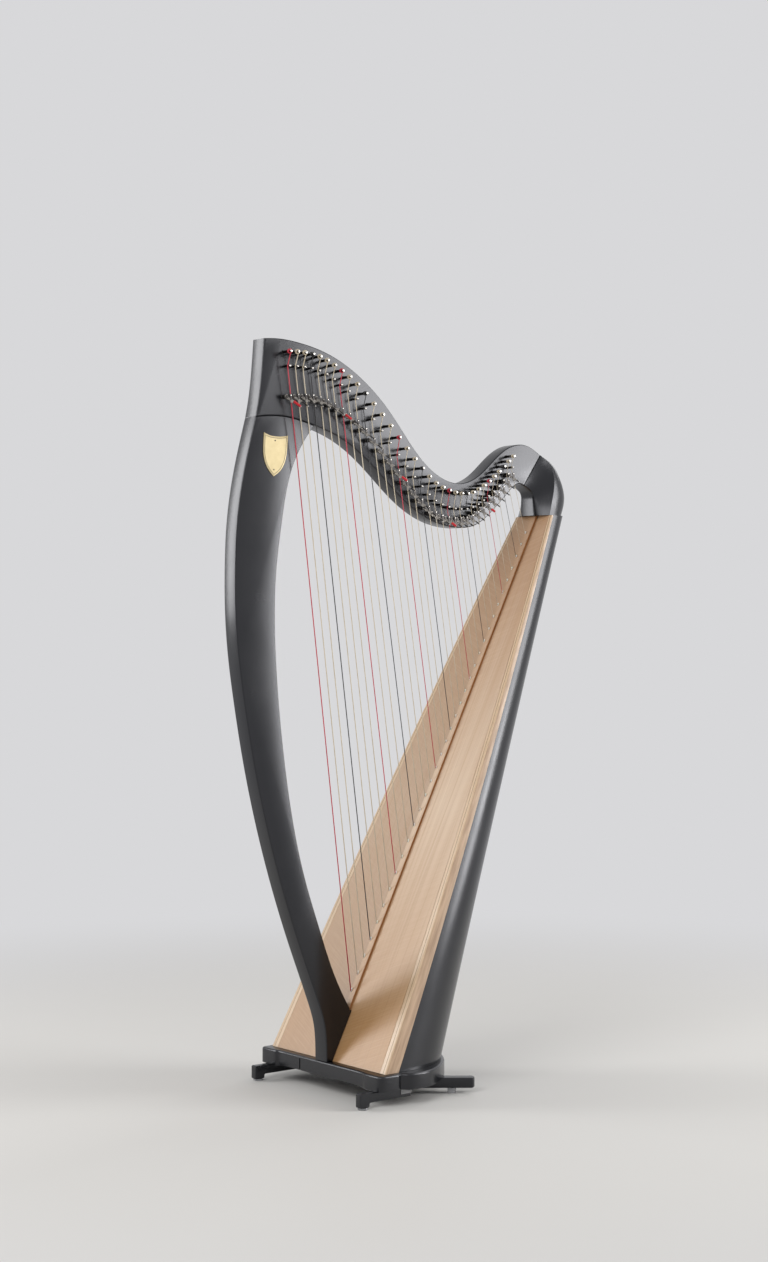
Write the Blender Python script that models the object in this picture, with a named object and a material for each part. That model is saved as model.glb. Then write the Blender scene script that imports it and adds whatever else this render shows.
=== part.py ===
"""Floor standing lever harp: curved column, string neck, shoulder, tapered soundbox and footed base.

Measured in metres. While it is built, x = 0 is the lower edge of the soundboard, +X runs from the column
to the soundbox, -Y is the side that carries the strings, and z = 0 is the floor.
"""

import math

import bmesh
import bpy
import numpy as np
from mathutils import Vector

# Fits
GAP = 0.0003  # clearance between pieces that touch
HOLE_GAP = 0.00035  # radial clearance of a pin in its hole
CHAMFER = 0.0015  # broken edges of the neck and the column

# Neck and column plate
PLATE_T = 0.0368
NECK_TOP = (
    (-0.1604, 1.4202), (-0.1300, 1.4224), (-0.0800, 1.4187), (-0.0131, 1.4036), (0.0652, 1.3651),
    (0.1400, 1.3025), (0.2124, 1.2213), (0.2617, 1.1846), (0.3199, 1.1713), (0.3620, 1.1853),
    (0.4136, 1.2261), (0.4596, 1.2531), (0.4984, 1.2560), (0.5375, 1.2377),
)
NECK_BOTTOM = (
    (-0.1790, 1.2741), (-0.1397, 1.2787), (-0.0899, 1.2756), (-0.0439, 1.2652), (0.0230, 1.2423),
    (0.0942, 1.1970), (0.1758, 1.1304), (0.2420, 1.0954), (0.3073, 1.0828), (0.3579, 1.0885),
    (0.3850, 1.1030), (0.4150, 1.1275), (0.4450, 1.1545), (0.4620, 1.1700), (0.4760, 1.1768),
    (0.4915, 1.1735),
)
NECK_FRONT = ((-0.1604, 1.4202), (-0.1655, 1.3600), (-0.1723, 1.3076), (-0.1790, 1.2741))
COLUMN_FRONT = (
    (-0.1790, 1.2741), (-0.2093, 1.1542), (-0.2208, 1.0783), (-0.2250, 1.0000), (-0.2247, 0.9200),
    (-0.2193, 0.8439), (-0.2036, 0.7374), (-0.1848, 0.6380), (-0.0783, 0.2836), (-0.0334, 0.1709),
    (-0.0210, 0.1330), (-0.0165, 0.1000), (-0.0155, 0.0603),
)
COLUMN_BACK = (
    (-0.0439, 1.2652), (-0.0672, 1.2349), (-0.0933, 1.1876), (-0.1195, 1.0800), (-0.1325, 0.9850),
    (-0.1354, 0.9267), (-0.1326, 0.8200), (-0.1136, 0.6370), (-0.0649, 0.4094), (-0.0289, 0.3079),
    (-0.0029, 0.2402), (0.0247, 0.1839), (0.0416, 0.1549),
)

# Soundbox, in horizontal sections that run from its foot to its head
BOARD_SLOPE = math.radians(63.04)
BOX_Z0 = 0.0603
BOX_Z1 = 1.1135  # the outlines of neck, column and shoulder stretch with it
BOX_FOOT = 0.0615  # height of x = 0 on the face of the soundboard
BOX_LEVELS = 6
HALF_WIDTH = (0.1775, 0.0540)  # at the foot and at the head
SIDE_BOW = 0.0125
BACK_DEPTH = (0.1922, 0.0540)
BACK_HOLLOW = 0.0154
BACK_ROUND = 0.9
RIM_WIDTH = (0.0170, 0.0080)
RIM_DEPTH = (0.0314, 0.0044)
RIM_LEDGE = 0.0060
BOARD_T = 0.0040
SHELL_WALL = 0.0050
RIB_T = 0.0050
RIB_HALF = 0.0130
RIB_Z0 = 0.1522
INNER_RIB_ALONG = (0.0700, 1.1650)
INNER_RIB_HALF = (0.0120, 0.0090)
SLOT_HALF = 0.0035
BRACE_SHARE = 0.5000
BRACE_T = 0.0160
SOUND_HOLES = ((0.20, 0.052, 0.034), (0.40, 0.044, 0.030), (0.59, 0.034, 0.024), (0.76, 0.024, 0.017))

# Shoulder: throat corner (x, z, half width), side corner (x, half width, z), back line (x, z)
SHOULDER = (
    (0.00, (0.5185, 1.1138, 0.0210), (0.5350, 0.0480, 1.1138), (0.5935, 1.1138)),
    (0.25, (0.5172, 1.1400, 0.0195), (0.5415, 0.0468, 1.1370), (0.6020, 1.1340)),
    (0.45, (0.5158, 1.1530, 0.0186), (0.5482, 0.0460, 1.1620), (0.6035, 1.1560)),
    (0.60, (0.5118, 1.1610, 0.0184), (0.5550, 0.0410, 1.1820), (0.5975, 1.1780)),
    (0.75, (0.5050, 1.1665, 0.0184), (0.5585, 0.0330, 1.2020), (0.5865, 1.2030)),
    (0.90, (0.4973, 1.1710, 0.0184), (0.5510, 0.0245, 1.2230), (0.5670, 1.2260)),
    (1.00, (0.4915, 1.1735, 0.0184), (0.5375, 0.0184, 1.2377), (0.5377, 1.2377)),
)

# Strings
STRINGS = 34
STRING_R = (0.0010, 0.0004)
STRING_STAND = 0.0140  # height of the strings over the neck at the bridge pins
FIRST_EYE = 0.1366  # along the soundboard
LAST_EYE = 1.1372
EYE_STEPS = ((1, 0.0352), (10, 0.0341), (16, 0.0282), (34, 0.0275))
EYE_STAND = 0.0008

# Bridge pins: place of some of them along x, then the line that they stand on
PIN_X = (
    (1, -0.1138), (4, -0.0611), (8, 0.0083), (12, 0.0856), (16, 0.1680), (20, 0.2420),
    (24, 0.3076), (28, 0.3666), (34, 0.4453),
)
PIN_LINE = (
    (-0.1138, 1.3712), (-0.0783, 1.3716), (-0.0439, 1.3671), (0.0083, 1.3439), (0.0490, 1.3173),
    (0.0856, 1.2835), (0.1263, 1.2416), (0.1680, 1.1971), (0.2072, 1.1590), (0.2420, 1.1333),
    (0.2751, 1.1221), (0.3076, 1.1187), (0.3369, 1.1234), (0.3666, 1.1385), (0.4063, 1.1679),
    (0.4453, 1.2079),
)
BRIDGE_PIN_R = 0.0022
BRIDGE_PIN_STAND = 0.0190
TUNING_RISE = (
    (1, 0.0262), (6, 0.0256), (8, 0.0262), (12, 0.0290), (16, 0.0340), (20, 0.0340), (24, 0.0305),
    (28, 0.0294), (31, 0.0290), (34, 0.0222),
)
TUNING_SHIFT = -0.0035
TUNING_PIN_R = 0.0026
TUNING_PIN_STAND = 0.0270
TUNING_PIN_BACK = 0.0180
COIL_R = 0.0034
COIL_AT = (0.0180, 0.0240)
# Half width of the strips inside the neck that hold the rows
KEEPER_HALF = {"tuning": 0.0040, "pin": 0.0030, "pivot": 0.0030}
KEEPER_T = 0.0038

# Sharping levers
SEMITONE = 1 - 2 ** (-1 / 12)
LEVER_REACH = 0.758  # share of a semitone's length between bridge pin and cam
LEVER_DROP = 0.0052
PIVOT_OFF = 0.0090  # pivot to string
BOSS_R = 0.0043
BOSS_TOP = 0.0085
AXLE_R = 0.0015
HUB_R = 0.0038
HUB_BORE_R = 0.0020
HUB_BOTTOM = 0.0088
HUB_TOP = 0.0132
HEAD_R = 0.0030
HEAD_T = 0.0013
CAM_R = 0.0015
ARM_R = 0.0013
ARM_START = 0.0032
ARM_END = 0.0130
ARM_FOOT = 0.0116
ARM_RISE = 0.70
GRIP_R = 0.0022
GRIP_RISE = 0.35
GRIP_END = (0.0310, 0.0225)  # longest in the bass, shortest in the treble
REST_ANGLE = math.radians(-38)
LEVER_TRAVEL = math.radians(64)

# Base, legs and pads
BASE_Z0 = 0.0300
BASE_Z1 = 0.0600
BASE_PLAN = (
    (-0.0165, 0.0000), (-0.0165, 0.0600), (-0.0168, 0.1260), (-0.0185, 0.1350), (-0.0212, 0.1410),
    (-0.0218, 0.1780), (-0.0195, 0.1860), (-0.0120, 0.1895), (0.0200, 0.1880), (0.0265, 0.1865),
    (0.0300, 0.1850), (0.0335, 0.1880), (0.0390, 0.1955), (0.0480, 0.1985), (0.0640, 0.1990),
    (0.0820, 0.1975), (0.1000, 0.1930), (0.1300, 0.1765), (0.1500, 0.1610), (0.1690, 0.1440),
    (0.1860, 0.1260), (0.2010, 0.1065), (0.2140, 0.0840), (0.2255, 0.0540), (0.2320, 0.0280),
    (0.2350, 0.0000),
)
ARCH_SPAN = (0.0280, 0.1290)  # of the shallow arch under each half of the base
ARCH_RISE = 0.0028
NOTCH_Y = (0.0640, 0.0672)
NOTCH_DEEP = 0.0035
LEG_TOP = BASE_Z0 - GAP
FRONT_LEG_Y = 0.1650
FRONT_LEG_HALF = 0.0075
FRONT_LEG = (
    (-0.0550, 0.0290), (-0.0550, 0.0060), (-0.0525, 0.0040), (-0.0345, 0.0040), (-0.0325, 0.0120),
    (0.0650, 0.0120),
)
REAR_LEG_IN = (0.1050, 0.0940)
REAR_LEG_OUT = (0.2140, 0.1815)
REAR_LEG_HALF = 0.0120
REAR_LEG_Z0 = 0.0100
FRONT_PAD = (-0.0440, 0.1650, 0.0098)
REAR_PAD = (0.1800, 0.1545, 0.0085)
BOLT_R = 0.0030
BOLT_X = -0.0078
BOLT_TOP = 0.1100
BOLT_HEAD_R = 0.0060
BOLT_HEAD_T = 0.0050

# Shield shaped name plate, left blank
SHIELD = (
    (-0.1619, 1.2458), (-0.1500, 1.2413), (-0.1366, 1.2396), (-0.1220, 1.2399), (-0.1071, 1.2422),
    (-0.1082, 1.2250), (-0.1097, 1.2098), (-0.1140, 1.1930), (-0.1240, 1.1765), (-0.1400, 1.1646),
    (-0.1535, 1.1790), (-0.1605, 1.1930), (-0.1633, 1.2070), (-0.1632, 1.2260),
)
SHIELD_T = 0.0010

PLATE_HALF = PLATE_T / 2
STRETCH = (BOX_Z1 - BOX_Z0) / (SHOULDER[0][1][1] - GAP - BOX_Z0)  # of the outlines, over the base
SLOPE_RUN = 1 / math.tan(BOARD_SLOPE)
ACROSS = 1 / math.sin(BOARD_SLOPE)  # horizontal length of a unit of thickness across the soundboard
BOARD_UP = Vector((math.cos(BOARD_SLOPE), 0, math.sin(BOARD_SLOPE)))
BOARD_OUT = Vector((-math.sin(BOARD_SLOPE), 0, math.cos(BOARD_SLOPE)))


def clear_scene():
    for obj in list(bpy.data.objects):
        bpy.data.objects.remove(obj)


def material(name, rgb, roughness, metallic=0.0, coat=0.0):
    made = bpy.data.materials.get(name)
    if made:
        return made
    made = bpy.data.materials.new(name)
    made.use_nodes = True
    made.diffuse_color = (*rgb, 1)
    shader = made.node_tree.nodes["Principled BSDF"]
    shader.inputs["Base Color"].default_value = (*rgb, 1)
    shader.inputs["Roughness"].default_value = roughness
    shader.inputs["Metallic"].default_value = metallic
    shader.inputs["Coat Weight"].default_value = coat
    return made


def mesh_object(name, verts, faces, root=None, look=None, at=(0, 0, 0)):
    """An object whose faces all point outwards, with its origin at the given place."""
    mesh = bpy.data.meshes.new(name)
    offset = Vector(at)
    mesh.from_pydata([Vector(v) - offset for v in verts], [], faces)
    work = bmesh.new()
    work.from_mesh(mesh)
    bmesh.ops.recalc_face_normals(work, faces=work.faces)
    if work.calc_volume(signed=True) < 0:
        bmesh.ops.reverse_faces(work, faces=work.faces)
    work.to_mesh(mesh)
    work.free()
    obj = bpy.data.objects.new(name, mesh)
    obj.location = offset
    bpy.context.scene.collection.objects.link(obj)
    if look:
        mesh.materials.append(look)
    if root:
        obj.parent = root
    return obj


def joined(shapes):
    """One list of points and faces from several."""
    verts = []
    faces = []
    for points, sides in shapes:
        start = len(verts)
        verts.extend(points)
        faces.extend([[i + start for i in side] for side in sides])
    return verts, faces


def lofted(rings):
    """A closed skin through rings that hold the same number of points, capped at both ends."""
    count = len(rings[0])
    verts = [p for ring in rings for p in ring]
    faces = [list(range(count)), list(range(len(verts) - count, len(verts)))[::-1]]
    for r in range(len(rings) - 1):
        for i in range(count):
            j = (i + 1) % count
            faces.append([r * count + j, r * count + i, (r + 1) * count + i, (r + 1) * count + j])
    return verts, faces


def boolean(obj, tools, operation, solver="EXACT"):
    """Joins or cuts with each tool in turn, then drops the tools."""
    for tool in tools:
        tool.hide_render = True
        tool.display_type = "WIRE"
        step = obj.modifiers.new(tool.name, "BOOLEAN")
        step.operation = operation
        step.solver = solver
        step.object = tool
    bpy.context.view_layer.update()
    graph = bpy.context.evaluated_depsgraph_get()
    result = bpy.data.meshes.new_from_object(obj.evaluated_get(graph))
    obj.modifiers.clear()
    obj.data = result
    for tool in tools:
        bpy.data.objects.remove(tool)
    return obj


def smooth(obj, degrees=30):
    obj.data.shade_smooth()
    obj.data.set_sharp_from_angle(angle=math.radians(degrees))
    return obj


def cubic(at, values, wanted):
    """Natural cubic spline through the values at the given places."""
    at = np.asarray(at, float)
    values = np.asarray(values, float).reshape(len(at), -1)
    wanted = np.atleast_1d(np.asarray(wanted, float))
    n = len(at)
    h = np.diff(at)
    system = np.eye(n)
    right = np.zeros_like(values)
    for i in range(1, n - 1):
        system[i, i - 1 : i + 2] = h[i - 1], 2 * (h[i - 1] + h[i]), h[i]
        right[i] = 6 * ((values[i + 1] - values[i]) / h[i] - (values[i] - values[i - 1]) / h[i - 1])
    bend = np.linalg.solve(system, right)
    k = np.clip(np.searchsorted(at, wanted) - 1, 0, n - 2)
    a = ((at[k + 1] - wanted) / h[k])[:, None]
    b = ((wanted - at[k]) / h[k])[:, None]
    lift = ((a**3 - a) * bend[k] + (b**3 - b) * bend[k + 1]) * (h[k] ** 2)[:, None] / 6
    return a * values[k] + b * values[k + 1] + lift


def curve(points, count):
    """A smooth line through the points, in about equal steps."""
    points = np.asarray(points, float)
    along = np.concatenate([[0], np.cumsum(np.linalg.norm(np.diff(points, axis=0), axis=1))])
    return [tuple(p) for p in cubic(along, points, np.linspace(0, along[-1], count))]


def shrunk(outline, by):
    """The closed outline with each side moved inwards."""
    points = np.asarray(outline, float)
    area = np.sum(points[:, 0] * np.roll(points[:, 1], -1) - np.roll(points[:, 0], -1) * points[:, 1])
    side = np.roll(points, -1, axis=0) - points
    side /= np.linalg.norm(side, axis=1)[:, None]
    normal = np.stack([-side[:, 1], side[:, 0]], 1) * np.sign(area)
    before = np.roll(normal, 1, axis=0)
    middle = normal + before
    middle /= (middle * normal).sum(1)[:, None]
    return [tuple(p) for p in points + middle * by]


def slab(outline, layers):
    """A plate in the XZ plane: each layer gives y and how far the outline shrinks there."""
    rings = []
    for y, by in layers:
        flat = shrunk(outline, by) if by else outline
        rings.append([(x, y, z) for x, z in flat])
    return lofted(rings)


def floor_slab(outline, layers):
    """The same lying down: each layer gives z and how far the outline shrinks there."""
    rings = []
    for z, by in layers:
        flat = shrunk(outline, by) if by else outline
        rings.append([(x, y, z) for x, y in flat])
    return lofted(rings)


def turned(base, axis, profile, sides, turn=0.0):
    """A faceted turned shape: the profile lists distance along the axis and radius."""
    axis = Vector(axis).normalized()
    first = axis.orthogonal().normalized()
    second = axis.cross(first)
    rings = []
    for along, radius in profile:
        centre = Vector(base) + axis * along
        rings.append([
            centre + (first * math.cos(a) + second * math.sin(a)) * radius
            for a in (turn + 2 * math.pi * k / sides for k in range(sides))
        ])
    return lofted(rings)


def tube(path, radius, sides):
    """A faceted tube along a bent path, mitred at the bends."""
    path = [Vector(p) for p in path]
    steps = [(b - a).normalized() for a, b in zip(path, path[1:])]
    first = steps[0].orthogonal().normalized()
    rings = []
    for k, p in enumerate(path):
        before = steps[max(k - 1, 0)]
        after = steps[min(k, len(steps) - 1)]
        if k:
            first = (first - before * first.dot(before)).normalized()
        second = before.cross(first)
        plane = (before + after).normalized()
        ring = []
        for j in range(sides):
            angle = 2 * math.pi * j / sides
            spoke = (first * math.cos(angle) + second * math.sin(angle)) * radius
            ring.append(p + spoke - before * (spoke.dot(plane) / before.dot(plane)))
        rings.append(ring)
        turn = before.rotation_difference(after)
        first = turn @ first
    return lofted(rings)


def between(pair, share):
    return pair[0] + (pair[1] - pair[0]) * share


def stretched(points):
    """Places of an outline, fitted to the height of the soundbox."""
    return [(x * STRETCH, BOX_Z0 + (z - BOX_Z0) * STRETCH) for x, z in points]


# Soundbox sections

def board_x(z):
    return (z - BOX_FOOT) * SLOPE_RUN


def box_share(z):
    return (z - BOX_FOOT) / (BOX_Z1 - BOX_FOOT)


def half_width(z):
    f = box_share(z)
    return between(HALF_WIDTH, f) + 4 * SIDE_BOW * f * (1 - f)


def back_depth(z):
    f = box_share(z)
    return between(BACK_DEPTH, f) - 4 * BACK_HOLLOW * f * (1 - f)


def box_levels(z0, z1, count=BOX_LEVELS):
    return [z0 + (z1 - z0) * k / (count - 1) for k in range(count)]


def back_arc(z, inset, count=19):
    """The rounded back at one height, from +Y round to -Y."""
    front = board_x(z) + between(RIM_DEPTH, box_share(z)) + GAP
    depth = back_depth(z) - inset
    half = half_width(z) - inset
    points = []
    for k in range(count):
        a = math.pi * k / (count - 1)
        c = math.cos(a)
        s = math.sin(a)
        across = math.copysign(abs(c) ** BACK_ROUND, c) if abs(c) > 1e-9 else 0.0
        points.append((front + depth * abs(s) ** BACK_ROUND if s > 1e-9 else front, half * across, z))
    return points


def board_point(along, out=0.0, y=0.0):
    """A place on the soundboard by distance from its lower edge and height over its face."""
    return Vector((0, y, BOX_FOOT)) + BOARD_UP * along + BOARD_OUT * out


def last_eye():
    return LAST_EYE * STRETCH


def string_places():
    """For each string: number, radius, bridge pin, tuning pin, eyelet, lever pivot and its route."""
    number = np.arange(1, STRINGS + 1)
    line = stretched(PIN_LINE)
    xs = cubic([n for n, _ in PIN_X], [x * STRETCH for _, x in PIN_X], number)[:, 0]
    zs = cubic([x for x, _ in line], [z for _, z in line], xs)[:, 0]
    rises = cubic([n for n, _ in TUNING_RISE], [r for _, r in TUNING_RISE], number)[:, 0]
    steps = np.interp(number[:-1] + 0.5, [n for n, _ in EYE_STEPS], [s for _, s in EYE_STEPS])
    eyes = FIRST_EYE + np.concatenate([[0], np.cumsum(steps)]) * (last_eye() - FIRST_EYE) / steps.sum()
    places = []
    for n, x, z, rise, eye in zip(number, xs, zs, rises, eyes):
        share = (n - 1) / (STRINGS - 1)
        radius = between(STRING_R, share)
        foot = board_point(eye, RIB_T + EYE_STAND)
        pin = Vector((x, 0, z))
        off = BRIDGE_PIN_R + radius + GAP
        run = (foot - pin).normalized()
        for _ in range(3):
            side = Vector((run.z, 0, -run.x)).normalized()
            top = pin + side * off
            top.y = -(PLATE_HALF + STRING_STAND)
            run = (foot - top).normalized()
        length = (foot - top).length
        drop = LEVER_REACH * SEMITONE * length + LEVER_DROP
        flat = Vector((run.x, 0, run.z)).normalized()
        pivot = Vector((top.x, 0, top.z)) + flat * drop + side * PIVOT_OFF
        tuning = Vector((x + TUNING_SHIFT, 0, z + rise))
        coil = Vector((tuning.x + COIL_R + radius + GAP, -(PLATE_HALF + sum(COIL_AT) / 2), tuning.z))
        places.append(dict(
            number=int(n), share=share, radius=radius, pin=pin, tuning=tuning, top=top, foot=foot,
            eye=eye, coil=coil, pivot=pivot, side=side, drop=drop, length=length,
        ))
    return places


def pin_row(name, root, look, places, key, profiles, sides):
    """A row of pins joined by the keeper strip that lies inside the neck."""
    outline = strip_outline([(p[key].x, p[key].z) for p in places], KEEPER_HALF[key])
    keeper = mesh_object(name, *slab(outline, ((-0.0006, 0), (-0.0006 - KEEPER_T, 0))), root, look)
    shapes = [turned((p[key].x, 0, p[key].z), (0, -1, 0), profiles, sides) for p in places]
    pins = mesh_object(name + "_tool", *joined(shapes))
    return smooth(boolean(keeper, [pins], "UNION"), 35)


def strip_outline(line, half):
    """A band of even width along a row of pins, with a little to spare at both ends."""
    points = np.asarray(line, float)[::3]
    first = points[0] - (points[1] - points[0]) / np.linalg.norm(points[1] - points[0]) * half
    last = points[-1] + (points[-1] - points[-2]) / np.linalg.norm(points[-1] - points[-2]) * half
    points = np.vstack([[first], points[1:-1], [last]])
    side = np.gradient(points, axis=0)
    side /= np.linalg.norm(side, axis=1)[:, None]
    normal = np.stack([-side[:, 1], side[:, 0]], 1) * half
    return [tuple(p) for p in np.vstack([points + normal, (points - normal)[::-1]])]


def build_neck(root, look, places):
    top = curve(stretched(NECK_TOP), 46)
    bottom = curve(stretched(NECK_BOTTOM), 40)
    front = curve(stretched(NECK_FRONT), 5)
    end = (GAP * 0.8, GAP * -0.55)
    top[-1] = (top[-1][0] - end[0], top[-1][1] - end[1])
    bottom[-1] = (bottom[-1][0] - end[0], bottom[-1][1] - end[1])
    outline = top + bottom[::-1] + front[::-1][1:-1]
    near = mesh_object(
        "neck_string_side",
        *slab(outline, ((-PLATE_HALF, CHAMFER), (-PLATE_HALF + CHAMFER, 0), (-GAP / 2, 0))),
        root, look,
    )
    far = mesh_object(
        "neck_plain_side",
        *slab(outline, ((GAP / 2, 0), (PLATE_HALF - CHAMFER, 0), (PLATE_HALF, CHAMFER))),
        root, look,
    )
    holes = []
    for key, radius, sides in (
        ("tuning", TUNING_PIN_R, 6), ("pin", BRIDGE_PIN_R, 6), ("pivot", AXLE_R + 0.0005, 6),
    ):
        wide = (radius + HOLE_GAP) / math.cos(math.pi / sides)
        for p in places:
            spot = (p[key].x, 0.001, p[key].z)
            holes.append(turned(spot, (0, -1, 0), ((0, wide), (PLATE_T, wide)), sides))
    grooves = []
    for key in ("tuning", "pin", "pivot"):
        band = strip_outline([(p[key].x, p[key].z) for p in places], KEEPER_HALF[key] + GAP)
        layers = ((0.001, 0), (-0.0006 - KEEPER_T - GAP, 0))
        grooves.append(mesh_object("groove_tool", *slab(band, layers)))
    boolean(near, grooves + [mesh_object("hole_tool", *joined(holes))], "DIFFERENCE", "MANIFOLD")
    wide = (TUNING_PIN_R + HOLE_GAP) / math.cos(math.pi / 6)
    through = [
        turned((p["tuning"].x, -0.001, p["tuning"].z), (0, 1, 0), ((0, wide), (PLATE_T, wide)), 6)
        for p in places
    ]
    boolean(far, [mesh_object("hole_tool", *joined(through))], "DIFFERENCE")
    smooth(near)
    smooth(far)
    return bottom


def build_pins(root, steel, places):
    out = PLATE_HALF
    pin_row("tuning_pins", root, steel, places, "tuning", (
        (-out - TUNING_PIN_BACK, TUNING_PIN_R), (out + COIL_AT[0] - 0.0004, TUNING_PIN_R),
        (out + COIL_AT[0], COIL_R), (out + COIL_AT[1], COIL_R), (out + TUNING_PIN_STAND, TUNING_PIN_R * 0.85),
    ), 6)
    pin_row("bridge_pins", root, steel, places, "pin", (
        (0.0020, BRIDGE_PIN_R), (out + BRIDGE_PIN_STAND, BRIDGE_PIN_R * 0.9),
    ), 6)
    pin_row("lever_mounts", root, steel, places, "pivot", (
        (0.0020, AXLE_R + 0.0005), (out + GAP, AXLE_R + 0.0005), (out + GAP, BOSS_R),
        (out + BOSS_TOP, BOSS_R), (out + BOSS_TOP, AXLE_R), (out + HUB_TOP + GAP, AXLE_R),
        (out + HUB_TOP + GAP, HEAD_R), (out + HUB_TOP + GAP + HEAD_T, HEAD_R),
    ), 6)


def build_levers(root, metal, places):
    for p in places:
        centre = p["pivot"].copy()
        centre.y = -PLATE_HALF
        name = "sharping_lever_%02d" % p["number"]
        outward = Vector((math.cos(REST_ANGLE), 0, math.sin(REST_ANGLE)))
        up = Vector((0, -1, 0))
        reach = between(GRIP_END, p["share"])
        hub = turned(centre, up, ((HUB_BOTTOM, HUB_R), (HUB_TOP, HUB_R)), 8)
        lever = mesh_object(name, *hub, root, metal, centre)
        arm_foot = centre + outward * ARM_START + up * ARM_FOOT
        arm_tip = arm_foot + (outward + up * ARM_RISE) * (ARM_END - ARM_START)
        grip_way = outward + up * GRIP_RISE
        grip_top = arm_tip + grip_way * 0.0025
        grip_tip = arm_tip + grip_way * (reach - ARM_END)
        rings = []
        side = outward.cross(up)
        for spot, radius, way in (
            (arm_foot, ARM_R, outward), (arm_tip, ARM_R, outward), (grip_top, GRIP_R, outward),
            (grip_tip, GRIP_R * 0.85, outward),
        ):
            lift = way.cross(side)
            rings.append([
                spot + (side * math.cos(a) + lift * math.sin(a)) * radius
                for a in (2 * math.pi * k / 5 for k in range(5))
            ])
        handle = mesh_object("handle_tool", *lofted(rings))
        engaged = math.atan2(-p["side"].z, -p["side"].x)
        cam_angle = engaged - LEVER_TRAVEL
        cam_way = Vector((math.cos(cam_angle), 0, math.sin(cam_angle)))
        cam_side = Vector((-cam_way.z, 0, cam_way.x))
        cam_far = PIVOT_OFF - p["radius"] - GAP
        cam = []
        for h in (HUB_BOTTOM + 0.0004, HUB_TOP - 0.0004):
            cam.append([
                centre + up * h + cam_way * along + cam_side * across
                for along, across in (
                    (0.0026, 0.0016), (0.0026, -0.0016), (cam_far - 0.0012, -CAM_R), (cam_far, -0.0006),
                    (cam_far, 0.0006), (cam_far - 0.0012, CAM_R),
                )
            ])
        cam = mesh_object("cam_tool", *lofted(cam))
        bore = mesh_object("bore_tool", *turned(
            centre, up, ((HUB_BOTTOM - 0.001, HUB_BORE_R), (HUB_TOP + 0.001, HUB_BORE_R)), 6,
        ))
        boolean(lever, [handle, cam], "UNION")
        boolean(lever, [bore], "DIFFERENCE")
        smooth(lever, 40)


def build_strings(root, look, places):
    """Each string runs from the anchor strip through the ribs, past its bridge pin to its tuning pin."""
    back = BOARD_T + GAP + RIB_T + GAP * 2
    anchor_t = 0.0026
    low = FIRST_EYE - 0.012
    high = last_eye() + 0.010
    corners = []
    for along in (low, high):
        corners.append([
            board_point(along, -back, 0.0040), board_point(along, -back - anchor_t, 0.0040),
            board_point(along, -back - anchor_t, -0.0040), board_point(along, -back, -0.0040),
        ])
    anchor = mesh_object("strings", *lofted(corners), root, look)
    shapes = []
    for p in places:
        root_end = board_point(p["eye"], -back - anchor_t * 0.5)
        shapes.append(tube((root_end, p["foot"], p["top"], p["coil"]), p["radius"], 5))
    tool = mesh_object("strings_tool", *joined(shapes))
    smooth(boolean(anchor, [tool], "UNION"), 45)


def build_column(root, look, neck_bottom):
    front = curve(stretched(COLUMN_FRONT), 36)
    back = curve(stretched(COLUMN_BACK), 32)
    head = [(x, z - GAP) for x, z in neck_bottom if front[0][0] < x < back[0][0]]
    lower = [(x, z - GAP) if k == 0 else (x, z) for k, (x, z) in enumerate(back)]
    front = [(x, z - GAP) if k == 0 else (x, z) for k, (x, z) in enumerate(front)]
    step = RIB_Z0 - GAP
    rib_face = board_x(step) - (RIB_T + GAP) * ACROSS
    outline = front[::-1] + head[1:] + lower
    outline += [(rib_face, step), (board_x(step) - GAP * ACROSS, step)]
    outline += [(board_x(BOX_Z0) - GAP * ACROSS, BOX_Z0)]
    layers = (
        (-PLATE_HALF, CHAMFER), (-PLATE_HALF + CHAMFER, 0), (PLATE_HALF - CHAMFER, 0), (PLATE_HALF, CHAMFER),
    )
    column = mesh_object("column", *slab(outline, layers), root, look)
    bore = ((BASE_Z0, BOLT_R + HOLE_GAP), (BOLT_TOP + 0.003, BOLT_R + HOLE_GAP))
    hole = mesh_object("bolt_tool", *turned((BOLT_X, 0, 0), (0, 0, 1), bore, 12))
    return smooth(boolean(column, [hole], "DIFFERENCE"))


def build_shoulder(root, look):
    """Throat, black side facets and rounded back, lofted up from the head of the soundbox."""
    share = [row[0] for row in SHOULDER]
    values = []
    for _, (nx, nz, nw), (sx, sw, sz), (bx, bz) in SHOULDER:
        (nx, nz), (sx, sz), (bx, bz) = stretched([(nx, nz), (sx, sz), (bx, bz)])
        values.append([nx, nz, nw, sx, sw, sz, bx, bz])
    rings = []
    shift = (GAP * 0.4, GAP * -0.28)
    for t in (0, 0.1, 0.2, 0.3, 0.4, 0.5, 0.6, 0.7, 0.8, 0.9, 1):
        nx, nz, nw, sx, sw, sz, bx, bz = cubic(share, values, t)[0]
        soft = 0.0060 * (1 - t) + CHAMFER * t
        if t == 1:
            nx, nz, sx, sz = nx + shift[0], nz + shift[1], sx + shift[0], sz + shift[1]
        to_side = Vector((sx - nx, sw - nw, sz - nz)).normalized()
        ring = []
        ring.append((nx, nw - soft, nz))
        ring.append((nx + to_side.x * soft, nw + to_side.y * soft, nz + to_side.z * soft))
        half = []
        count = 7
        for k in range(count):
            a = math.pi / 2 * k / (count - 1)
            if t == 1:
                y = sw * (1 - k / (count - 1))
                half.append((sx, y, sz))
                continue
            away = math.sin(a) ** BACK_ROUND
            y = sw * (math.cos(a) ** BACK_ROUND if k < count - 1 else 0)
            half.append((sx + (bx - sx) * away, y, sz + (bz - sz) * away))
        ring += half
        ring += [(x, -y, z) for x, y, z in half[-2::-1]]
        ring.append((ring[1][0], -ring[1][1], ring[1][2]))
        ring.append((ring[0][0], -ring[0][1], ring[0][2]))
        rings.append(ring)
    return smooth(mesh_object("shoulder", *lofted(rings), root, look), 24)


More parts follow.
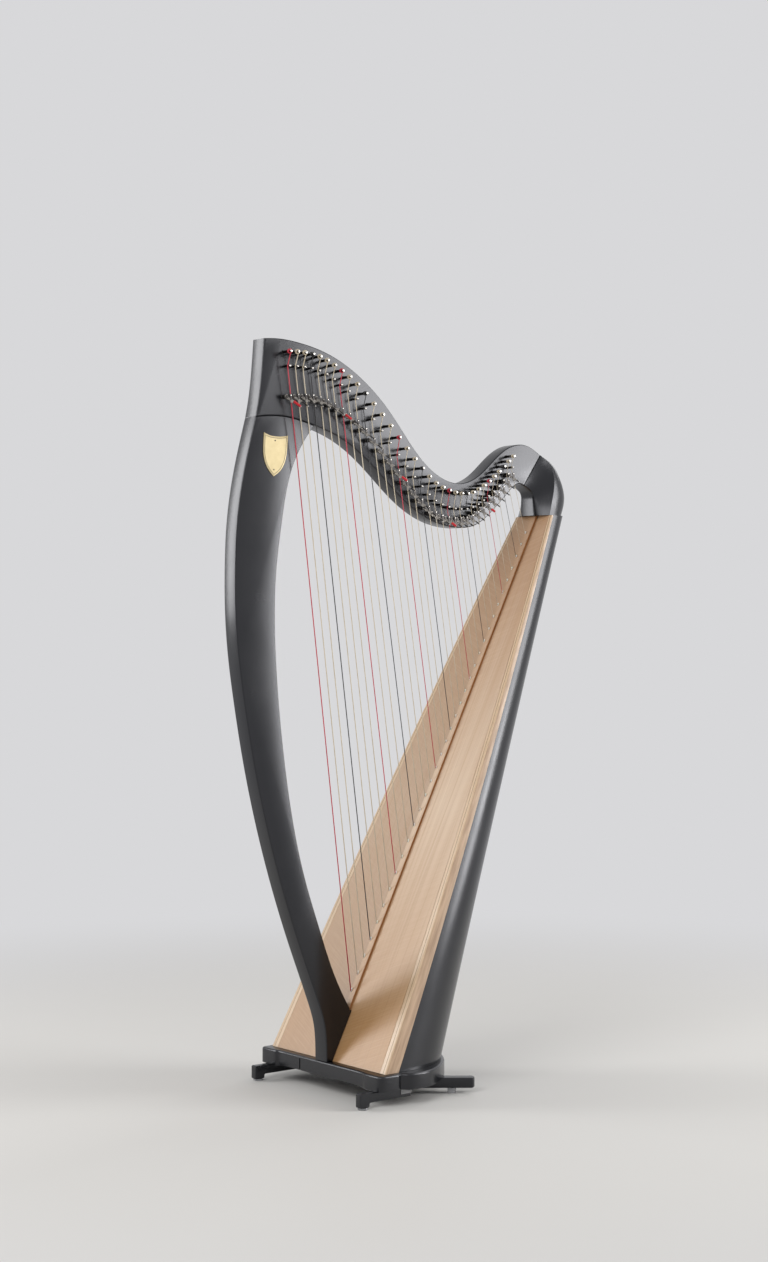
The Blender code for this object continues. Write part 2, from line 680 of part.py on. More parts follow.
def build_soundbox(root, lacquer, spruce, rim, walnut):
    levels = box_levels(BOX_Z0, BOX_Z1)
    shell = []
    for z in levels:
        outer = back_arc(z, 0)
        inner = back_arc(z, SHELL_WALL)
        shell.append(outer + inner[::-1])
    shell = mesh_object("soundbox_shell", *lofted(shell), root, lacquer)
    cutters = []
    lean = board_x(BOX_Z1) - board_x(BOX_Z0) + RIM_DEPTH[1] - RIM_DEPTH[0] + BACK_DEPTH[1] - BACK_DEPTH[0]
    back_line = Vector((lean, 0, BOX_Z1 - BOX_Z0)).normalized()
    out = Vector((back_line.z, 0, -back_line.x))
    for f, tall, wide in SOUND_HOLES:
        z = BOX_FOOT + (BOX_Z1 - BOX_FOOT) * f
        mid = Vector((board_x(z) + between(RIM_DEPTH, f) + back_depth(z), 0, z))
        rings = []
        for depth in (-0.020, 0.020):
            rings.append([
                mid + out * depth + back_line * (tall * math.cos(a)) + Vector((0, wide * math.sin(a), 0))
                for a in (2 * math.pi * k / 20 for k in range(20))
            ])
        cutters.append(lofted(rings))
    boolean(shell, [mesh_object("sound_hole_tool", *joined(cutters))], "DIFFERENCE")
    smooth(shell)

    slot_ends = []
    for along in (FIRST_EYE - 0.006, last_eye() + 0.006):
        slot_ends.append([
            board_point(along, 0.002, SLOT_HALF), board_point(along, -0.014, SLOT_HALF),
            board_point(along, -0.014, -SLOT_HALF), board_point(along, 0.002, -SLOT_HALF),
        ])
    thick = BOARD_T * ACROSS
    board = []
    for z in levels:
        half = half_width(z) - between(RIM_WIDTH, box_share(z)) - GAP
        x = board_x(z)
        board.append([(x, half, z), (x + thick, half, z), (x + thick, -half, z), (x, -half, z)])
    board = mesh_object("soundboard", *lofted(board), root, spruce)
    boolean(board, [mesh_object("slot_tool", *lofted(slot_ends))], "DIFFERENCE")
    smooth(board)

    for name, sign in (("edge_moulding_plain_side", 1), ("edge_moulding_string_side", -1)):
        rings = []
        for z in levels:
            f = box_share(z)
            w = half_width(z)
            strip = between(RIM_WIDTH, f)
            deep = between(RIM_DEPTH, f)
            x = board_x(z)
            soft = CHAMFER
            rings.append([(x + dx, sign * y, z) for dx, y in (
                (0, w - soft), (soft, w), (deep, w), (deep, w - strip - RIM_LEDGE),
                (thick + GAP * 1.2, w - strip - RIM_LEDGE), (thick + GAP * 1.2, w - strip), (0, w - strip),
            )])
        smooth(mesh_object(name, *lofted(rings), root, rim))

    rings = []
    for z in box_levels(RIB_Z0, BOX_Z1 - 0.0006, 2):
        x = board_x(z)
        near = x - GAP * ACROSS
        far = x - RIB_T * ACROSS
        soft = 0.0015
        rings.append([
            (near, RIB_HALF, z), (near, -RIB_HALF, z), (far + soft, -RIB_HALF, z), (far, -RIB_HALF + soft, z),
            (far, RIB_HALF - soft, z), (far + soft, RIB_HALF, z),
        ])
    return mesh_object("outer_string_rib", *lofted(rings), root, walnut), slot_ends


def build_ribs(root, outer, slot_ends, maple, places):
    holes = []
    for p in places:
        wide = p["radius"] + HOLE_GAP * 2.5
        start = board_point(p["eye"], RIB_T + 0.001)
        holes.append(turned(start, -BOARD_OUT, ((0, wide), (RIB_T + 0.002, wide)), 5))
    boolean(outer, [mesh_object("eye_tool", *joined(holes))], "DIFFERENCE")
    smooth(outer)
    rings = []
    for along, half in zip(INNER_RIB_ALONG, INNER_RIB_HALF):
        near = -BOARD_T - GAP
        rings.append([
            board_point(along, near, half), board_point(along, near - RIB_T, half),
            board_point(along, near - RIB_T, -half), board_point(along, near, -half),
        ])
    inner = mesh_object("inner_string_rib", *lofted(rings), root, maple)
    boolean(inner, [mesh_object("slot_tool", *lofted(slot_ends))], "DIFFERENCE")
    smooth(inner)
    rings = []
    middle = between((BOX_FOOT, BOX_Z1), BRACE_SHARE)
    for z in (middle - BRACE_T / 2, middle + BRACE_T / 2):
        outside = back_arc(z, SHELL_WALL + 0.0010)[2:-2]
        inside = back_arc(z, SHELL_WALL + 0.0130)[2:-2]
        rings.append(outside + inside[::-1])
    smooth(mesh_object("soundbox_brace", *lofted(rings), root, maple))


def build_base(root, lacquer, steel, rubber):
    plan = list(BASE_PLAN) + [(x, -y) for x, y in BASE_PLAN[-2:0:-1]]
    layers = (
        (BASE_Z0, 0.0008), (BASE_Z0 + 0.0008, 0), (BASE_Z1 - 0.0030, 0), (BASE_Z1 - 0.0009, 0.0009),
        (BASE_Z1, 0.0030),
    )
    base = mesh_object("base", *floor_slab(plan, layers), root, lacquer)
    arches = []
    for sign in (1, -1):
        arch = []
        middle = sign * sum(ARCH_SPAN) / 2
        half = (ARCH_SPAN[1] - ARCH_SPAN[0]) / 2
        for x in (-0.05, 0.30):
            ring = [(x, middle - half, BASE_Z0 - 0.004), (x, middle + half, BASE_Z0 - 0.004)]
            for k in range(9):
                a = math.pi * k / 8
                rise = ARCH_RISE * math.sin(a) ** 0.7 if 0 < k < 8 else 0
                ring.append((x, middle + half * math.cos(a), BASE_Z0 - 0.0003 + rise))
            arch.append(ring)
        arches.append(lofted(arch))
    notch = []
    face = BASE_PLAN[0][0]
    for y in NOTCH_Y:
        notch.append([
            (face - 0.012, y, BASE_Z0 - 0.010), (face + NOTCH_DEEP, y, BASE_Z0 - 0.010),
            (face + NOTCH_DEEP, y, BASE_Z1 - 0.004), (face - 0.012, y, BASE_Z1 - 0.004),
        ])
    axis = ((BOLT_X, 0, 0), (0, 0, 1))
    bore_top = BASE_Z0 + 0.0120
    below = BASE_Z0 - 0.010
    bolt = turned(*axis, ((below, BOLT_R + HOLE_GAP), (BASE_Z1 + 0.010, BOLT_R + HOLE_GAP)), 12)
    sunk = turned(*axis, ((below, BOLT_HEAD_R + 0.001), (bore_top, BOLT_HEAD_R + 0.001)), 12)
    boolean(base, [
        mesh_object("sunk_tool", *sunk), mesh_object("bolt_tool", *bolt),
        mesh_object("notch_tool", *lofted(notch)), mesh_object("arch_tool", *joined(arches)),
    ], "DIFFERENCE")
    smooth(base)
    head = bore_top - GAP
    smooth(mesh_object("column_bolt", *turned(*axis, (
        (head - BOLT_HEAD_T, BOLT_HEAD_R), (head, BOLT_HEAD_R), (head, BOLT_R), (BOLT_TOP, BOLT_R),
    ), 12), root, steel))

    for name, sign in (("plain_side", 1), ("string_side", -1)):
        top = [(FRONT_LEG[-1][0], LEG_TOP), (FRONT_LEG[0][0] + 0.002, LEG_TOP)]
        outline = [*FRONT_LEG, *top]
        soft = 0.0012
        y = sign * FRONT_LEG_Y
        low, high = y - FRONT_LEG_HALF, y + FRONT_LEG_HALF
        layers = ((low, soft), (low + soft, 0), (high - soft, 0), (high, soft))
        smooth(mesh_object("front_leg_" + name, *slab(outline, layers), root, lacquer))

        start = Vector((REAR_LEG_IN[0], sign * REAR_LEG_IN[1]))
        end = Vector((REAR_LEG_OUT[0], sign * REAR_LEG_OUT[1]))
        way = (end - start).normalized()
        side = Vector((-way.y, way.x)) * REAR_LEG_HALF
        plan = []
        near_end = end - way * 0.005
        for along, out in (
            (start, 1), (start, -1), (near_end, -1), (end, -0.6), (end, 0.6), (near_end, 1),
        ):
            plan.append(tuple(along + side * out))
        layers = ((REAR_LEG_Z0, 0.003), (REAR_LEG_Z0 + 0.004, 0), (LEG_TOP - soft, 0), (LEG_TOP, soft))
        smooth(mesh_object("rear_leg_" + name, *floor_slab(plan, layers), root, lacquer))

        for place, (x, y, r), foot in (
            ("front_pad_", FRONT_PAD, FRONT_LEG[2][1] - GAP), ("rear_pad_", REAR_PAD, REAR_LEG_Z0 - GAP),
        ):
            profile = ((0, r - 0.0012), (0.0012, r), (foot, r))
            pad = turned((x, sign * y, 0), (0, 0, 1), profile, 16)
            smooth(mesh_object(place + name, *pad, root, rubber))


def build_plate(root, look):
    shield = stretched(SHIELD)
    outline = curve(shield[:5], 7)[:-1] + curve(shield[4:10], 11)[:-1]
    outline += curve(shield[9:] + shield[:1], 11)[:-1]
    face = -PLATE_HALF - GAP
    layers = ((face, 0), (face - SHIELD_T * 0.7, 0), (face - SHIELD_T, SHIELD_T * 0.4))
    smooth(mesh_object("name_plate", *slab(outline, layers), root, look))


def centre_on_floor(root):
    """Moves everything so that the middle of its footprint stands on the origin."""
    bpy.context.view_layer.update()
    low = Vector((1e9, 1e9, 1e9))
    high = -low
    for obj in bpy.data.objects:
        if obj.type != "MESH":
            continue
        for vertex in obj.data.vertices:
            place = obj.matrix_world @ vertex.co
            low = Vector(map(min, low, place))
            high = Vector(map(max, high, place))
    root.location = (-(low.x + high.x) / 2, -(low.y + high.y) / 2, -low.z)


def main():
    clear_scene()
    root = bpy.data.objects.new("harp", None)
    bpy.context.scene.collection.objects.link(root)
    lacquer = material("black_lacquer", (0.012, 0.012, 0.015), 0.22, coat=0.6)
    spruce = material("spruce_board", (0.62, 0.42, 0.24), 0.45)
    rim = material("pale_rim_wood", (0.66, 0.47, 0.30), 0.45)
    walnut = material("brown_rib_wood", (0.26, 0.10, 0.045), 0.40)
    maple = material("plain_inside_wood", (0.50, 0.34, 0.20), 0.60)
    steel = material("nickel_pins", (0.62, 0.61, 0.60), 0.25, metallic=1.0)
    lever_metal = material("nickel_levers", (0.70, 0.68, 0.64), 0.30, metallic=1.0)
    cord = material("nylon_and_wound_strings", (0.72, 0.66, 0.55), 0.40)
    brass = material("pale_brass_plate", (0.80, 0.66, 0.38), 0.35, metallic=1.0)
    rubber = material("clear_foot_pads", (0.20, 0.20, 0.20), 0.50)

    places = string_places()
    neck_bottom = build_neck(root, lacquer, places)
    build_column(root, lacquer, neck_bottom)
    build_shoulder(root, lacquer)
    outer, slot_ends = build_soundbox(root, lacquer, spruce, rim, walnut)
    build_ribs(root, outer, slot_ends, maple, places)
    build_pins(root, steel, places)
    build_levers(root, lever_metal, places)
    build_strings(root, cord, places)
    build_base(root, lacquer, steel, rubber)
    build_plate(root, brass)
    centre_on_floor(root)


main()
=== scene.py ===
"""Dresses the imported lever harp: a lacquered frame, a spruce soundboard, 34 strings and their levers."""

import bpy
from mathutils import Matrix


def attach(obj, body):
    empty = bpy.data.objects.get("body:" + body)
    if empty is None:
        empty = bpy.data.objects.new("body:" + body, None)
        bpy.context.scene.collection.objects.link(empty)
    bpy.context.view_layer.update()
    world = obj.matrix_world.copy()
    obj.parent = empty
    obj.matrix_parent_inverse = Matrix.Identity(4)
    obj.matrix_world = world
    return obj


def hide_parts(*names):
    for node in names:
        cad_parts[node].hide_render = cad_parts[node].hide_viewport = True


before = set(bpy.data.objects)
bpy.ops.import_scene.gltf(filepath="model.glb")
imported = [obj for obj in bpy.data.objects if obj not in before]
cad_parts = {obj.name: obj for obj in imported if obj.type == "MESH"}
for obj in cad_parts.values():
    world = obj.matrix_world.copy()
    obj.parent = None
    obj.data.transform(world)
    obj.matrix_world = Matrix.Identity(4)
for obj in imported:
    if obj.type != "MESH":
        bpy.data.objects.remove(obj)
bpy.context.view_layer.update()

import math

import bmesh
import bpy
import numpy as np
from mathutils import Vector

# The room
# A photographer's studio: a matt painted floor, three softboxes to the right of the harp,
# two more to its left, and an even pale surround. The camera stands level with the harp's middle.

PALE_WALL = "#dddddf"
PALE_FLOOR = "#dcdad6"
WALL_SHOWN = 0.95  # strength of the surround where it is seen or mirrored
WALL_LIGHT = 0.50  # strength of the light that it gives
FLOOR_RADIUS = 14
FLOOR_FADE = (0.8, 2.5)  # the stretch over which the floor passes into the surround


def linear(code):
    """The linear colour that Blender's sockets take, from an sRGB hex colour."""
    parts = [int(code[i:i + 2], 16) / 255 for i in (1, 3, 5)]
    return (*[c / 12.92 if c <= 0.04045 else ((c + 0.055) / 1.055) ** 2.4 for c in parts], 1)


def add(tree, kind, links=(), inputs=(), **settings):
    """One more node, set up and connected. A whole node given as a source lends its first output."""
    made = tree.nodes.new("ShaderNode" + kind)
    for key, value in settings.items():
        setattr(made, key, value)
    for key, value in dict(inputs).items():
        made.inputs[key].default_value = value
    for key, source in dict(links).items():
        tree.links.new(getattr(source, "outputs", [source])[0], made.inputs[key])
    return made


def connect(shader, **sources):
    """Leads patterns to the sockets of a shader."""
    for key, source in sources.items():
        source = getattr(source, "outputs", [source])[0]
        shader.id_data.links.new(source, shader.inputs[key.replace("_", " ")])


def start_finish(name, **sockets):
    """A new material with its even values set, its nodes, its shader and the place on the piece."""
    made = bpy.data.materials.new(name)
    made.use_nodes = True
    shader = made.node_tree.nodes["Principled BSDF"]
    for key, value in sockets.items():
        shader.inputs[key.replace("_", " ")].default_value = value
    where = add(made.node_tree, "TexCoord").outputs["Object"]
    return made, made.node_tree, shader, where


def sweep(first, last, steps):
    """Angles from the first to the last in even steps."""
    return [first + (last - first) * k / steps for k in range(steps + 1)]


def oval(centre, wide, tall, count):
    """Points round an oval whose two half axes are given as vectors."""
    angles = sweep(0, 2 * math.pi, count)[:-1]
    return [centre + wide * math.cos(a) + tall * math.sin(a) for a in angles]


def placed(name, data):
    """A new object in the scene."""
    made = bpy.data.objects.new(name, data)
    bpy.context.scene.collection.objects.link(made)
    return made


lens = bpy.data.cameras.new("photo_camera")
lens.sensor_width = 36.0
lens.lens = 61.27
lens.clip_start = 0.05
lens.clip_end = 60.0
camera = placed("photo_camera", lens)
camera.location = (-2.67122, -3.25543, 0.88568)
camera.rotation_euler = (math.radians(89.885), 0, math.radians(-38.8357))
bpy.context.scene.camera = camera

for name, place, aim, size, power in (
    ("right_softbox", (2.28, -1.94, 1.90), (0.33, 0.21, 1.90), (1.46, 1.66), 54.0),
    ("high_right_softbox", (2.50, 0.55, 2.65), (0.0, 0.0, 1.20), (0.90, 1.40), 14.0),
    ("low_right_softbox", (3.22, -2.70, 0.66), (0.10, -0.13, 0.45), (0.80, 1.05), 38.0),
    ("back_left_softbox", (-2.14, 2.18, 1.64), (-0.17, -0.15, 1.10), (0.90, 1.76), 38.0),
    ("front_left_softbox", (-3.10, -1.10, 2.60), (0.05, 0.0, 0.80), (2.20, 1.60), 52.0),
):
    lamp = bpy.data.lights.new(name, "AREA")
    lamp.shape = "RECTANGLE"
    lamp.size, lamp.size_y = size
    lamp.energy = power
    holder = placed(name, lamp)
    holder.location = place
    holder.rotation_euler = (Vector(aim) - Vector(place)).to_track_quat("-Z", "Y").to_euler()
    holder.visible_camera = False

room = bpy.data.worlds.new("pale_surround")
room.use_nodes = True
sky = room.node_tree.nodes["Background"]
sky.inputs["Color"].default_value = linear(PALE_WALL)
path = add(room.node_tree, "LightPath")
seen = path.outputs["Is Camera Ray"]
for ray in ("Is Glossy Ray", "Is Transmission Ray"):
    seen = add(room.node_tree, "Math", {0: seen, 1: path.outputs[ray]}, operation="MAXIMUM")
level = add(room.node_tree, "MapRange", {"Value": seen}, {"To Min": WALL_LIGHT, "To Max": WALL_SHOWN})
connect(sky, Strength=level)
bpy.context.scene.world = room
bpy.context.scene.view_settings.view_transform = "Standard"

# Matt floor paint: rolled on, so its sheen wanders a little over a hand's breadth.
floor_paint, tree, shader, where = start_finish("matt_floor_paint", Base_Color=linear(PALE_FLOOR))
cloud = add(tree, "TexNoise", {"Vector": where}, {"Scale": 7.0, "Detail": 4.0})
sheen = add(
    tree, "MapRange", {"Value": cloud},
    {"From Min": 0.3, "From Max": 0.7, "To Min": 0.58, "To Max": 0.64},
)
connect(shader, Roughness=sheen)
far = add(tree, "VectorMath", {0: where}, operation="LENGTH")
fade = add(
    tree, "MapRange", {"Value": far.outputs["Value"]},
    {"From Min": FLOOR_FADE[0], "From Max": FLOOR_FADE[1]}, interpolation_type="SMOOTHSTEP",
)
wall = add(tree, "Emission", (), {"Color": linear(PALE_WALL), "Strength": WALL_SHOWN})
blend = add(tree, "MixShader", {0: fade, 1: shader, 2: wall})
connect(tree.nodes["Material Output"], Surface=blend)
ground = bpy.data.meshes.new("floor")
rim = oval(Vector(), Vector((FLOOR_RADIUS, 0, 0)), Vector((0, FLOOR_RADIUS, 0)), 72)
ground.from_pydata(rim, [], [list(range(72))])
ground.materials.append(floor_paint)
placed("floor", ground)

# Base
# The base is a block of hardwood, sawn to its outline, rounded along its top edge and lacquered black.
# A shallow arch is cut under each half, and a narrow slot stands open in its front face.

HOME = Vector((-0.189294, 0, 0))  # from the foot of the soundboard to the middle of the harp
BASE_Z0 = 0.0300
BASE_Z1 = 0.0600
BASE_PLAN = (
    (-0.0165, 0.0000), (-0.0165, 0.0600), (-0.0168, 0.1260), (-0.0185, 0.1350), (-0.0212, 0.1410),
    (-0.0218, 0.1780), (-0.0195, 0.1860), (-0.0120, 0.1895), (0.0200, 0.1880), (0.0265, 0.1865),
    (0.0300, 0.1850), (0.0335, 0.1880), (0.0390, 0.1955), (0.0480, 0.1985), (0.0640, 0.1990),
    (0.0820, 0.1975), (0.1000, 0.1930), (0.1300, 0.1765), (0.1500, 0.1610), (0.1690, 0.1440),
    (0.1860, 0.1260), (0.2010, 0.1065), (0.2140, 0.0840), (0.2255, 0.0540), (0.2320, 0.0280),
    (0.2350, 0.0000),
)
BOTTOM_ROUND = 0.0010
TOP_ROUND = 0.0045
ARCH_RUN = (-0.05, 0.30)
ARCH_SPAN = (0.0280, 0.1290)
ARCH_START = 0.0297
ARCH_RISE = 0.0028
ARCH_FULLNESS = 0.7
SLOT_Y = (0.0640, 0.0672)
SLOT_DEEP = 0.0035
SLOT_TOP = 0.0560
SAW_OVER = 0.0120  # how far outside the wood a saw cut starts
CORNER_CUTS = (0.25, 0.75)

# Black polyester lacquer over hardwood, sprayed and buffed: a soft gloss with a trace of orange peel,
# a faint haze where hands have been, and a few grains of dust on it.
black_lacquer, tree, shader, where = start_finish(
    "buffed_black_lacquer", IOR=1.55, Specular_Tint=linear("#f0f0f5"),
)
haze = add(tree, "TexNoise", {"Vector": where}, {"Scale": 11.0, "Detail": 4.0})  # 90 mm smears
gloss = add(
    tree, "MapRange", {"Value": haze},
    {"From Min": 0.3, "From Max": 0.75, "To Min": 0.22, "To Max": 0.28},
)
connect(shader, Roughness=gloss)
dust = add(tree, "TexNoise", {"Vector": where}, {"Scale": 1300.0, "Detail": 1.0})  # 0.8 mm grains
grains = add(
    tree, "MapRange", {"Value": dust},
    {"From Min": 0.70, "From Max": 0.78, "To Min": 0.0, "To Max": 0.10},
)
coat = add(tree, "Mix", {0: grains}, {6: linear("#111215"), 7: linear("#6a6a6c")}, data_type="RGBA")
connect(shader, Base_Color=coat.outputs[2])
peel = add(tree, "TexNoise", {"Vector": where}, {"Scale": 260.0, "Detail": 1.0})  # 4 mm peel
relief = add(tree, "Bump", {"Height": peel}, {"Strength": 0.03, "Distance": 0.0002})
connect(shader, Normal=relief)


def shrunk(outline, by):
    """The closed outline with each side moved inwards."""
    points = np.asarray(outline, float)
    area = np.sum(points[:, 0] * np.roll(points[:, 1], -1) - np.roll(points[:, 0], -1) * points[:, 1])
    side = np.roll(points, -1, axis=0) - points
    side /= np.linalg.norm(side, axis=1)[:, None]
    normal = np.stack([-side[:, 1], side[:, 0]], 1) * np.sign(area)
    middle = normal + np.roll(normal, 1, axis=0)
    middle /= (middle * normal).sum(1)[:, None]
    return [tuple(p) for p in points + middle * by]


def lofted(rings, capped=True):
    """A skin through rings that hold the same number of points."""
    count = len(rings[0])
    verts = [p for ring in rings for p in ring]
    faces = [list(range(count)), list(range(len(verts) - count, len(verts)))[::-1]] if capped else []
    for r in range(len(rings) - 1):
        for i in range(count):
            j = (i + 1) % count
            faces.append([r * count + j, r * count + i, (r + 1) * count + i, (r + 1) * count + j])
    return verts, faces


def softened(low, high, soft_low, soft_high, steps=4):
    """Levels of a plate whose edges are rounded at both faces: height and how far the outline shrinks."""
    angles = sweep(0, math.pi / 2, steps)
    levels = [(low + soft_low * (1 - math.cos(a)), soft_low * (1 - math.sin(a))) for a in angles]
    return levels + [(high - soft_high * (1 - math.sin(a)), soft_high * (1 - math.cos(a))) for a in angles]


def flat_plate(outline, levels):
    """A plate that lies down: its outline is drawn from above."""
    return lofted([[(x, y, z) for x, y in (shrunk(outline, by) if by else outline)] for z, by in levels])


def skinned(name, shapes):
    """One mesh from shapes of points and sides, set in the harp's place with its sides facing out."""
    verts = []
    faces = []
    for points, sides in shapes:
        start = len(verts)
        verts.extend(Vector(p) + HOME for p in points)
        faces.extend([[i + start for i in side] for side in sides])
    mesh = bpy.data.meshes.new(name)
    mesh.from_pydata(verts, [], faces)
    work = bmesh.new()
    work.from_mesh(mesh)
    bmesh.ops.recalc_face_normals(work, faces=work.faces)
    work.to_mesh(mesh)
    work.free()
    return mesh


def piece(name, shapes, looks, stands_for=(), body="harp_body", sharp=32):
    """One piece of the harp on its body, from shapes that may name the finish of each side by number."""
    mesh = skinned(name, [shape[:2] for shape in shapes])
    finish = []
    for _, sides, *look in shapes:
        look = look[0] if look else 0
        finish.extend([look] * len(sides) if isinstance(look, int) else look)
    for look in looks:
        mesh.materials.append(look)
    mesh.polygons.foreach_set("material_index", finish)
    mesh.shade_smooth()
    mesh.set_sharp_from_angle(angle=math.radians(sharp))
    made = placed(name, mesh)
    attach(made, body)
    if stands_for:
        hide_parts(*stands_for)
    return made


def lacquered(name, shape, *stands_for, sharp=32):
    """One lacquered piece of the frame."""
    return piece(name, [shape], [black_lacquer], stands_for, sharp=sharp)


def cut_away(target, shapes, sharp=32):
    """Saws the shapes out of a piece."""
    saw = placed("saw", skinned("saw", shapes))
    step = target.modifiers.new("saw", "BOOLEAN")
    step.operation = "DIFFERENCE"
    step.solver = "EXACT"
    step.object = saw
    bpy.context.view_layer.update()
    done = bpy.data.meshes.new_from_object(target.evaluated_get(bpy.context.evaluated_depsgraph_get()))
    target.modifiers.clear()
    target.data = done
    bpy.data.objects.remove(saw)
    done.shade_smooth()
    done.set_sharp_from_angle(angle=math.radians(sharp))


plan = list(BASE_PLAN) + [(x, -y) for x, y in BASE_PLAN[-2:0:-1]]
for _ in range(2):  # the corners of the outline are cut away in turn, as with a spokeshave
    shaved = []
    for (x0, y0), (x1, y1) in zip(plan, plan[1:] + plan[:1]):
        shaved.extend((x0 + (x1 - x0) * share, y0 + (y1 - y0) * share) for share in CORNER_CUTS)
    plan = shaved
levels = softened(BASE_Z0, BASE_Z1, BOTTOM_ROUND, TOP_ROUND, 6)
base = lacquered("base_block", flat_plate(plan, levels), "base")
arches = []
for sign in (1, -1):
    middle = sign * sum(ARCH_SPAN) / 2
    half = (ARCH_SPAN[1] - ARCH_SPAN[0]) / 2
    arch = [(middle - half, BASE_Z0 - SAW_OVER), (middle + half, BASE_Z0 - SAW_OVER)]
    for a in sweep(0, math.pi, 24):
        rise = ARCH_RISE * math.sin(a) ** ARCH_FULLNESS
        arch.append((middle + half * math.cos(a), ARCH_START + rise))
    arches.append(lofted([[(x, y, z) for y, z in arch] for x in ARCH_RUN]))
front_face = BASE_PLAN[0][0]
cut = (
    (front_face - SAW_OVER, BASE_Z0 - SAW_OVER), (front_face + SLOT_DEEP, BASE_Z0 - SAW_OVER),
    (front_face + SLOT_DEEP, SLOT_TOP), (front_face - SAW_OVER, SLOT_TOP),
)
cut_away(base, [lofted([[(x, y, z) for x, z in cut] for y in SLOT_Y])])
cut_away(base, arches)

# Legs, brackets and pads
# Two straight front legs and two slanting rear legs of lacquered hardwood are glued under the base.
# A small steel bracket is screwed to the outside of each front leg, and clear pads keep them off the floor.

GAP = 0.0003  # between two solids that are glued or pressed together
LEG_TOP = BASE_Z0 - GAP
LEG_ROUND = 0.0012
FRONT_LEG_Y = 0.1650
FRONT_LEG_HALF = 0.0075
FRONT_LEG_ROUND = 0.0014
FRONT_LEG = (
    (0.0650, LEG_TOP), (-0.0530, LEG_TOP), (-0.0550, 0.0280), (-0.0550, 0.0062), (-0.0545, 0.0050),
    (-0.0525, 0.0040), (-0.0345, 0.0040), (-0.0335, 0.0060), (-0.0332, 0.0100), (-0.0318, 0.0118),
    (-0.0300, 0.0120), (0.0650, 0.0120),
)
REAR_LEG_IN = (0.1050, 0.0940)
REAR_LEG_OUT = (0.2140, 0.1815)
REAR_LEG_HALF = 0.0120
REAR_LEG_NOSE = 0.0070
REAR_LEG_Z0 = 0.0100
REAR_LEG_ROUND = 0.0030
PADS = (  # place, radius and height
    ("front_pad_", -0.0440, 0.1650, 0.0098, 0.0037), ("rear_pad_", 0.1800, 0.1545, 0.0085, 0.0097),
)
PAD_FOOT = ((0, -0.0014), (0.0003, -0.0005), (0.0012, 0))  # height, and how far from the full radius
PAD_WAIST = 0.6
PAD_EDGE = 0.0004
BRACKET = ((0.0400, 0.0180), (0.0655, 0.0180), (0.0655, 0.0270), (0.0400, 0.0270))
BRACKET_T = 0.0010
BRACKET_EDGE = 0.0003
BRACKET_SCREWS = ((0.0450, 0.0225), (0.0605, 0.0225))
SCREW_HEAD = ((0.0008, 0.0017), (0.0013, 0.0016), (0.0017, 0.0010), (0.0018, 0.0003))
FINE_RELIEF = 0.0001


def turned(base, axis, profile, sides=20):
    """A turned shape: the profile lists distance along the axis and radius."""
    axis = Vector(axis).normalized()
    first = axis.orthogonal().normalized()
    second = axis.cross(first)
    return lofted([oval(Vector(base) + axis * along, first * r, second * r, sides) for along, r in profile])


def drifted(tree, shader, pattern, tones, roughness=(), contrast=()):
    """Lets one pattern carry a surface from its first tone to its second, and its roughness with it."""
    share = pattern
    if contrast:
        limits = {"From Min": contrast[0], "From Max": contrast[1]}
        share = add(tree, "MapRange", {"Value": pattern}, limits)
    first, second = tones
    tone = add(tree, "Mix", {0: share}, {6: linear(first), 7: linear(second)}, data_type="RGBA")
    connect(shader, Base_Color=tone.outputs[2])
    if roughness:
        gloss = add(
            tree, "MapRange", {"Value": pattern},
            {"From Min": 0.3, "From Max": 0.7, "To Min": roughness[0], "To Max": roughness[1]},
        )
        connect(shader, Roughness=gloss)


def clouded_finish(name, scale, detail, tones, roughness=(), grit=(), **sockets):
    """A finish that drifts in soft clouds between two tones, over a fine grit where it has one.

    Scale gives the clouds to the metre, and grit the grains to the metre and how strongly they stand out.
    """
    made, tree, shader, where = start_finish(name, **sockets)
    cloud = add(tree, "TexNoise", {"Vector": where}, {"Scale": scale, "Detail": detail})
    drifted(tree, shader, cloud, tones, roughness)
    if grit:
        size, strength = grit
        grains = add(tree, "TexNoise", {"Vector": where}, {"Scale": size, "Detail": 1.0})
        relief = add(tree, "Bump", {"Height": grains}, {"Strength": strength, "Distance": FINE_RELIEF})
        connect(shader, Normal=relief)
    return made


# Clear polyurethane, moulded: a smoky see-through rubber with 4 mm clouds and a shiny skin.
clear_rubber = clouded_finish(
    "moulded_clear_polyurethane", 240.0, 3.0, ("#a2a3a6", "#cfd0d2"), (0.12, 0.26),
    IOR=1.49, Transmission_Weight=0.55,
)

# Zinc plated mild steel, pressed from sheet: dull grey with cloudy patches about 5 mm across.
zinc_plate = clouded_finish(
    "dull_zinc_plate", 200.0, 3.0, ("#6b6b6c", "#8b8b8a"), (0.38, 0.52), Metallic=1.0,
)

# Nickel plated steel, turned and barrel polished: warm silver with 2.4 mm smears over a 0.4 mm grit.
nickel = clouded_finish(
    "polished_nickel_plate", 420.0, 4.0, ("#d2cec7", "#efebe5"), (0.16, 0.32), grit=(2600.0, 0.06),
    Metallic=1.0,
)


def stood_plate(outline, levels):
    """A plate that stands: its outline is drawn from the string side."""
    return lofted([[(x, y, z) for x, z in (shrunk(outline, by) if by else outline)] for y, by in levels])


def refinished(name, look):
    """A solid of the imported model, shown as it is, in its real finish."""
    for place in bpy.data.objects[name].material_slots:
        place.material = look


